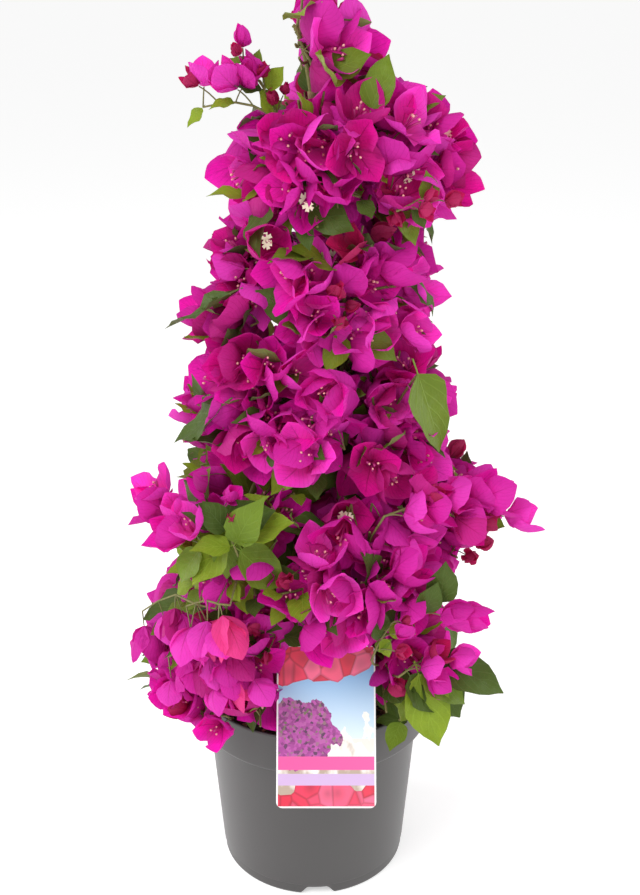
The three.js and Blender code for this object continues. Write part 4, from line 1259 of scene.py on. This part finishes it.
all_masses = [mass["name"] for mass in masses]
twig_wood = bark_material("green twig bark", (0.10, 0.095, 0.028), 0.3, (80, 0.4))
sweep_twigs("twigs", [twig for twig in twigs if twig[1][0] > stalk_radius], 6, twig_wood, all_masses)
stalk_green, *_ = finish_material("flower stalk green", (0.12, 0.12, 0.035), 0.6, (90, 0.3))
sweep_twigs("flower_stalks", [twig for twig in twigs if twig[1][0] <= stalk_radius], 4, stalk_green,
            all_masses)

# ---- Bracts ----
# The coloured part of a bougainvillea is three papery bracts round each trio of small tubes. Each is
# broad and pointed, a little cupped and waved, with a ridged midrib and a net of fine veins.
bract_width = 27
blade_rows = 8
blade_columns = (-1.0, -0.5, 0.0, 0.5, 1.0)


def blade_form(name, length, width, widest, cup, crease, bulge, tip_curl, wave, phase, twist=0.0,
               stalk=0.0, stalk_radius=0.0, taper=0.72):
    """A leaf or bract along y with its upper face to z, and its own map: across, and along its length."""
    row_places = [0.5 * i / blade_rows + 0.25 * (1 - math.cos(math.pi * i / blade_rows))
                  for i in range(blade_rows + 1)]
    rows = []
    for t in row_places:
        if t < widest:
            half = width / 2 * max(0.0, 1 - (1 - t / widest) ** 2) ** 0.5
        else:
            past = (t - widest) / (1 - widest)
            half = width / 2 * (1 - past ** 2) ** taper * (1 - 0.35 * past ** 5)
        half = max(half, 0.012 * width)
        spine = -bulge * length * math.sin(math.pi * t) + tip_curl * length * t ** 3
        lean = twist * t
        for share in blade_columns:
            across = half * share
            rise = cup * half * share ** 2 + crease * half * abs(share)
            ruffle = wave * half * abs(share) ** 3 * math.sin(2 * math.pi * (1.6 * t + phase * (1 + share)))
            up = rise + ruffle
            rows.append((across * math.cos(lean) - up * math.sin(lean), stalk + length * t,
                         spine + across * math.sin(lean) + up * math.cos(lean)))
    wide = len(blade_columns)
    faces = [(wide * i + k, wide * i + k + 1, wide * (i + 1) + k + 1, wide * (i + 1) + k)
             for i in range(blade_rows) for k in range(wide - 1)]
    places = [(share, t, 0) for t in row_places for share in blade_columns]
    if stalk:
        first = len(rows)
        for along, size in ((0, 1.0), (stalk * 1.02, 0.8)):
            rows += [(size * stalk_radius * math.cos(a), along, size * stalk_radius * math.sin(a))
                     for a in (0.5, 2.6, 4.7)]
        places += [(0, 0, 0)] * 6
        faces += [(first + k, first + 3 + k, first + 3 + (k + 1) % 3, first + (k + 1) % 3) for k in range(3)]
    mesh = mesh_in_mm(name, rows, faces)
    mesh.attributes.new("blade", "FLOAT_VECTOR", "POINT").data.foreach_set(
        "vector", np.array(places, np.float32).ravel())
    return mesh


# Shares of the usual length and width; where it is widest; cup, crease, bulge, curl, wave, phase, twist.
bract_shapes = [
    (1, 1, 0.42, 0.34, 0.04, 0.10, 0.10, 0.10, 0.1, 0),
    (1, 1.04, 0.40, 0.46, 0.02, 0.14, 0.12, 0.12, 0.35, 0.15),
    (0.96, 1, 0.44, 0.26, 0.08, 0.08, -0.06, 0.20, 0.6, -0.2),
    (1.04, 0.94, 0.40, 0.38, 0.04, 0.12, 0.02, 0.24, 0.8, 0.3),
    (1, 0.98, 0.38, 0.55, 0.0, 0.16, 0.20, 0.10, 0.25, -0.1),
    (0.92, 1.02, 0.45, 0.30, 0.10, 0.10, 0.04, 0.28, 0.5, 0)]
bract_forms = forms_of("bract forms", [
    blade_form(f"bract_{number}", bract_length * length, bract_width * width, *shape)
    for number, (length, width, *shape) in enumerate(bract_shapes, 1)])

# Midrib and side veins over a blade's own map, shared by bracts and leaves, with two masks for tones painted
# by place: Heart fades out from the base, where a bract gets painted shade, and Edge grows towards the sides,
# where a blade gets painted light.
veins, veins_in, veins_out = new_group(
    "veins", {"Count": ("NodeSocketFloat", 6.0), "Slant": ("NodeSocketFloat", 0.4),
              "Side": ("NodeSocketFloat", 0.5)},
    {"Mask": "NodeSocketFloat", "Heart": "NodeSocketFloat", "Edge": "NodeSocketFloat"})
v = add_nodes(
    veins, place="ShaderNodeAttribute", parts="ShaderNodeSeparateXYZ", off="ShaderNodeMath",
    back="ShaderNodeMath", row="ShaderNodeMath", count="ShaderNodeMath", fold="ShaderNodeMath",
    line="ShaderNodeMapRange", rib="ShaderNodeMapRange", weak="ShaderNodeMath", both="ShaderNodeMath",
    fade="ShaderNodeMapRange", thin="ShaderNodeMath", heart="ShaderNodeMapRange",
    edge="ShaderNodeMapRange")
v |= {"given": veins_in, "made": veins_out}
for kind, first, last, low, high in (("fade", 0.15, 1.0, 1, 0.25), ("heart", 0.05, 0.62, 1, 0),
                                     ("edge", 0.55, 1.0, 0, 1)):
    set_inputs(v[kind], From_Min=first, From_Max=last, To_Min=low, To_Max=high)
v["place"].attribute_name = "blade"
for kind, operation in (("off", "ABSOLUTE"), ("back", "MULTIPLY"), ("row", "SUBTRACT"), ("count", "MULTIPLY"),
                        ("weak", "MULTIPLY"), ("thin", "MULTIPLY"), ("both", "MAXIMUM")):
    operate(v[kind], operation)
operate(v["fold"], "PINGPONG", None, 0.5)
for kind, reach in (("line", 0.13), ("rib", 0.05)):
    v[kind].interpolation_type = "SMOOTHSTEP"
    set_inputs(v[kind], From_Max=reach, To_Min=1, To_Max=0)
wire(veins, v, [
    ("place", "Vector", "parts", 0), ("parts", 0, "off", 0), ("off", 0, "back", 0), ("parts", 1, "row", 0),
    ("back", 0, "row", 1), ("row", 0, "count", 0), ("count", 0, "fold", 0), ("fold", 0, "line", 0),
    ("off", 0, "rib", 0), ("line", 0, "weak", 0), ("parts", 1, "fade", 0), ("rib", 0, "thin", 0),
    ("fade", 0, "thin", 1), ("thin", 0, "both", 0), ("weak", 0, "both", 1), ("parts", 1, "heart", 0),
    ("off", 0, "edge", 0), ("given", "Slant", "back", 1), ("given", "Count", "count", 1),
    ("given", "Side", "weak", 1), ("heart", 0, "made", "Heart"), ("edge", 0, "made", "Edge"),
    ("both", 0, "made", "Mask")])


def blade_material(name, color, heart_color, edge_light_color, vein_color, under_color, roughness, through, count,
                   slant, side, blotch):
    """A leaf's or bract's finish: veins in colour and relief, another underside, and light let through, with
    a heart colour mixed in towards the base and a lighter edge colour, a painted light, towards the edges.
    """
    material, tree, shader, marks = finish_material(name, color, roughness, blotch, (1400, 0.2))
    net = place_group(tree, veins, Count=count, Slant=slant, Side=side)
    b = add_nodes(tree, face="ShaderNodeNewGeometry", sides="ShaderNodeMix", lined="ShaderNodeMix",
                  hearted="ShaderNodeMix", edged="ShaderNodeMix", low="ShaderNodeMath", out="ShaderNodeMath",
                  relief="ShaderNodeBump", soft="ShaderNodeBsdfTranslucent", blend="ShaderNodeMixShader",
                  where="ShaderNodeTexCoord", crinkle="ShaderNodeTexNoise", crumple="ShaderNodeBump")
    b |= {"marks": marks, "net": net, "shader": shader, "made": tree.nodes["Material Output"]}
    set_inputs(b["relief"], Strength=0.5, Distance=0.0005)
    set_inputs(b["crumple"], Strength=0.55, Distance=0.0022)
    set_inputs(b["crinkle"], Scale=130, Detail=3)
    for kind in ("sides", "lined", "hearted", "edged"):
        b[kind].data_type = "RGBA"
    operate(b["low"], "MULTIPLY", None, 0.75)
    operate(b["out"], "MULTIPLY", None, 0.6)
    for kind, shade in (("hearted", heart_color), ("edged", edge_light_color), ("sides", under_color),
                        ("lined", vein_color)):
        b[kind].inputs[7].default_value = (*shade, 1)
    b["blend"].inputs[0].default_value = through
    wire(tree, b, [("face", "Backfacing", "sides", 0), ("low", 0, "hearted", 0), ("out", 0, "edged", 0),
                   ("hearted", 2, "edged", 6), ("edged", 2, "sides", 6),
                   ("sides", 2, "lined", 6), ("soft", 0, "blend", 2),
                   ("lined", 2, "soft", "Color"), ("where", "Object", "crinkle", "Vector"),
                   ("crinkle", "Fac", "crumple", "Height"), ("crumple", "Normal", "relief", "Normal"),
                   ("relief", "Normal", "soft", "Normal"), ("marks", "Color", "hearted", 6),
                   ("net", "Heart", "low", 0), ("net", "Edge", "out", 0), ("net", "Mask", "lined", 0),
                   ("net", "Mask", "relief", "Height"), ("relief", "Normal", "shader", "Normal"),
                   ("lined", 2, "shader", "Base Color"), ("shader", "BSDF", "blend", 1),
                   ("blend", 0, "made", "Surface")])
    set_inputs(shader, Specular_IOR_Level=0.16)
    return material


bract_tones = {
    "magenta": (0.60, 0.009, 0.32),
    "light": (0.71, 0.035, 0.44),
    "deep": (0.49, 0.005, 0.20),
    "crimson": (0.40, 0.009, 0.085),
    "coral": (0.74, 0.040, 0.24),
}
for number, (tone, color) in enumerate(bract_tones.items()):
    places, frames, sizes = [], [], []
    draw = seeded(77 + number)
    for base, axis, roll, size, opening, flower_tone, _ in flowers:
        if flower_tone != tone:
            continue
        for spoke in spokes_round(axis, roll):
            opened = opening + 12 * (draw() - 0.5)
            along = tilted(axis, spoke, opened)
            inner = axis * math.sin(math.radians(opened)) - spoke * math.cos(math.radians(opened))
            sway = spokes_round(axis, roll + 6 * draw(), 1)[0]
            places.append(base + along * 0.4)
            frames.append(facing(along, unit(inner + 0.2 * sway)))
            scale = size * (0.92 + 0.16 * draw())
            sizes.append((scale * (0.92 + 0.14 * draw()), scale, scale * (0.7 + 0.6 * draw())))
    # Each bract is redder and darker towards its base, partly its own colour and partly painted shade deep in
    # the flower's cup, and lighter and pinker towards its edges, which is painted light.
    heart_color = (color[0] * 0.86, color[1] * 0.8, color[2] * 0.42)
    edge_light_color = (min(1, color[0] * 1.12 + 0.03), color[1] * 2 + 0.02, min(1, color[2] * 1.25 + 0.04))
    vein_color = (color[0] * 0.72, color[1] * 0.8, color[2] * 0.5)
    under_color = (min(1, color[0] * 1.08), color[1] + 0.015, min(1, color[2] * 1.12 + 0.02))
    finish = blade_material(tone + " bracts", color, heart_color, edge_light_color, vein_color, under_color,
                            0.6, 0.36, 8.0, 0.5, 0.3, (60, 0.4))
    plant("bracts_" + tone, places, frames, sizes, bract_forms, finish, "foliage", 11 + number, all_masses)

# ---- Flowers ----
# Each bract carries one slender tube with a pale tip; a few have opened into a small cream star.
tube_length = 16


def tube_form(name, profile, bow, sides=5):
    """A thin closed tube along y through (radius, distance) rings, bowed towards z."""
    rows = [(r * math.cos(2 * math.pi * k / sides), y, bow * y * y + r * math.sin(2 * math.pi * k / sides))
            for r, y in profile for k in range(sides)]
    last = (len(profile) - 1) * sides
    faces = [(i + k, i + sides + k, i + sides + (k + 1) % sides, i + (k + 1) % sides)
             for i in range(0, last, sides) for k in range(sides)]
    faces += [tuple(range(sides)), tuple(last + sides - 1 - k for k in range(sides))]
    return mesh_in_mm(name, rows, faces)


def star_form(name, radius, depth):
    """Five rounded lobes round a small throat, each creased along its middle."""
    rim = [(k * 72 + turn, radius * reach, depth * rise) for k in range(5)
           for turn, reach, rise in ((0, 0.9, 0.1), (-20, 1.0, 0.3), (-36, 0.48, -0.2), (20, 1.0, 0.3))]
    rim.sort(key=lambda point: point[0])
    rows = [(0, -depth, 0)]
    rows += [(reach * math.cos(math.radians(turn)), rise, reach * math.sin(math.radians(turn)))
             for turn, reach, rise in rim]
    faces = [(0, 1 + (k + 1) % len(rim), 1 + k) for k in range(len(rim))]
    return mesh_in_mm(name, rows, faces)


tube_forms = forms_of("tube forms", [
    tube_form("tube_1", [(0.6, 2), (1.3, 5), (0.9, 10), (1.0, tube_length)], 0.012),
    tube_form("tube_2", [(0.6, 2), (1.25, 4.5), (0.85, 9), (1.05, tube_length)], -0.008)])
tip_forms = forms_of("tip forms", [
    tube_form("tip_1", [(0.7, -0.6), (1.15, 0.4), (1.0, 1.5), (0.3, 2.1)], 0),
    tube_form("tip_2", [(0.7, -0.6), (1.0, 0.3), (0.85, 1.2), (0.3, 1.8)], 0)])
star_forms = forms_of("star forms", [star_form("star_1", 4.2, 1.8), star_form("star_2", 3.7, 1.4)])
tubes, tips, stars = [], [], []
draw = seeded(303)
for base, axis, roll, size, opening, tone, is_open in flowers:
    if tone == "crimson":
        continue
    for k, spoke in enumerate(spokes_round(axis, roll + 0.25)):
        along = tilted(axis, spoke, max(6, opening * 0.28 + 8 * (draw() - 0.5)))
        length = size * (0.8 + 0.25 * draw())
        frame_turn = facing(along, -spoke)
        tubes.append((base, frame_turn, (length,) * 3))
        end = base + along * tube_length * length
        if is_open and k < 2:
            stars.append((end, frame_turn, (size,) * 3))
        else:
            tips.append((end, frame_turn, (size * 0.8,) * 3))
tube_finish, *_ = finish_material("dark magenta tubes", (0.30, 0.012, 0.12), 0.5, (200, 0.3))
tip_finish, *_ = finish_material("pale pink tips", (0.62, 0.3, 0.27), 0.5, (300, 0.2))
star_finish, *_ = finish_material("cream petals", (0.86, 0.8, 0.6), 0.6, (300, 0.1))
for name, items, forms, finish, seed in (
        ("flower_tubes", tubes, tube_forms, tube_finish, 31),
        ("flower_tips", tips, tip_forms, tip_finish, 32),
        ("flower_stars", stars, star_forms, star_finish, 33)):
    plant(name, *zip(*items), forms, finish, "foliage", seed, all_masses)

# ---- Leaves ----
# Leaves are thin, broad and pointed, on short stalks, dark and slightly glossy above and paler beneath;
# the newest are small and yellow-green.
leaf_stalk = 8
leaf_stalk_radius = 0.6
# Where it is widest; cup, crease, bulge, curl, wave, phase, twist; and how sharply it tapers.
leaf_shapes = [
    (0.34, 0.05, 0.18, 0.02, -0.12, 0.16, 0.2, 0.1, 1.05),
    (0.38, 0.02, 0.26, -0.03, -0.18, 0.22, 0.6, -0.2, 1.2),
    (0.36, 0.10, 0.14, 0.03, 0.05, 0.28, 0.9, 0.3, 0.95),
    (0.40, 0.16, 0.06, 0.05, -0.06, 0.24, 0.4, -0.35, 1.1)]
leaf_forms = forms_of("leaf forms", [
    blade_form(f"leaf_{number}", leaf_length, leaf_width, *shape, leaf_stalk, leaf_stalk_radius, taper)
    for number, (*shape, taper) in enumerate(leaf_shapes, 1)])
leaf_tones = {
    "dark": ((0.050, 0.080, 0.014), (0.11, 0.15, 0.05), 0.12),
    "mid": ((0.105, 0.160, 0.016), (0.18, 0.23, 0.07), 0.18),
    "young": ((0.165, 0.235, 0.018), (0.24, 0.30, 0.06), 0.26),
}
for number, (tone, (color, under_color, through)) in enumerate(leaf_tones.items()):
    kept = [leaf for leaf in leaves if leaf[5] == tone]
    places = [leaf[0] for leaf in kept]
    frames = [facing(leaf[1], leaf[2]) for leaf in kept]
    sizes = [(width / leaf_width, length / leaf_length, length / leaf_length)
             for _, _, _, length, width, _ in kept]
    # Each leaf is a little lighter towards its base, and lighter still towards its edges, which is painted
    # light.
    heart_color = tuple(channel * 1.12 for channel in color)
    edge_light_color = tuple(channel * 1.35 for channel in color)
    vein_color = tuple(channel * 1.7 + 0.01 for channel in color)
    finish = blade_material(tone + " leaves", color, heart_color, edge_light_color, vein_color, under_color,
                            0.42, through, 5.0, 0.45, 0.5, (40, 0.3))
    plant("leaves_" + tone, places, frames, sizes, leaf_forms, finish, "foliage", 41 + number, all_masses)
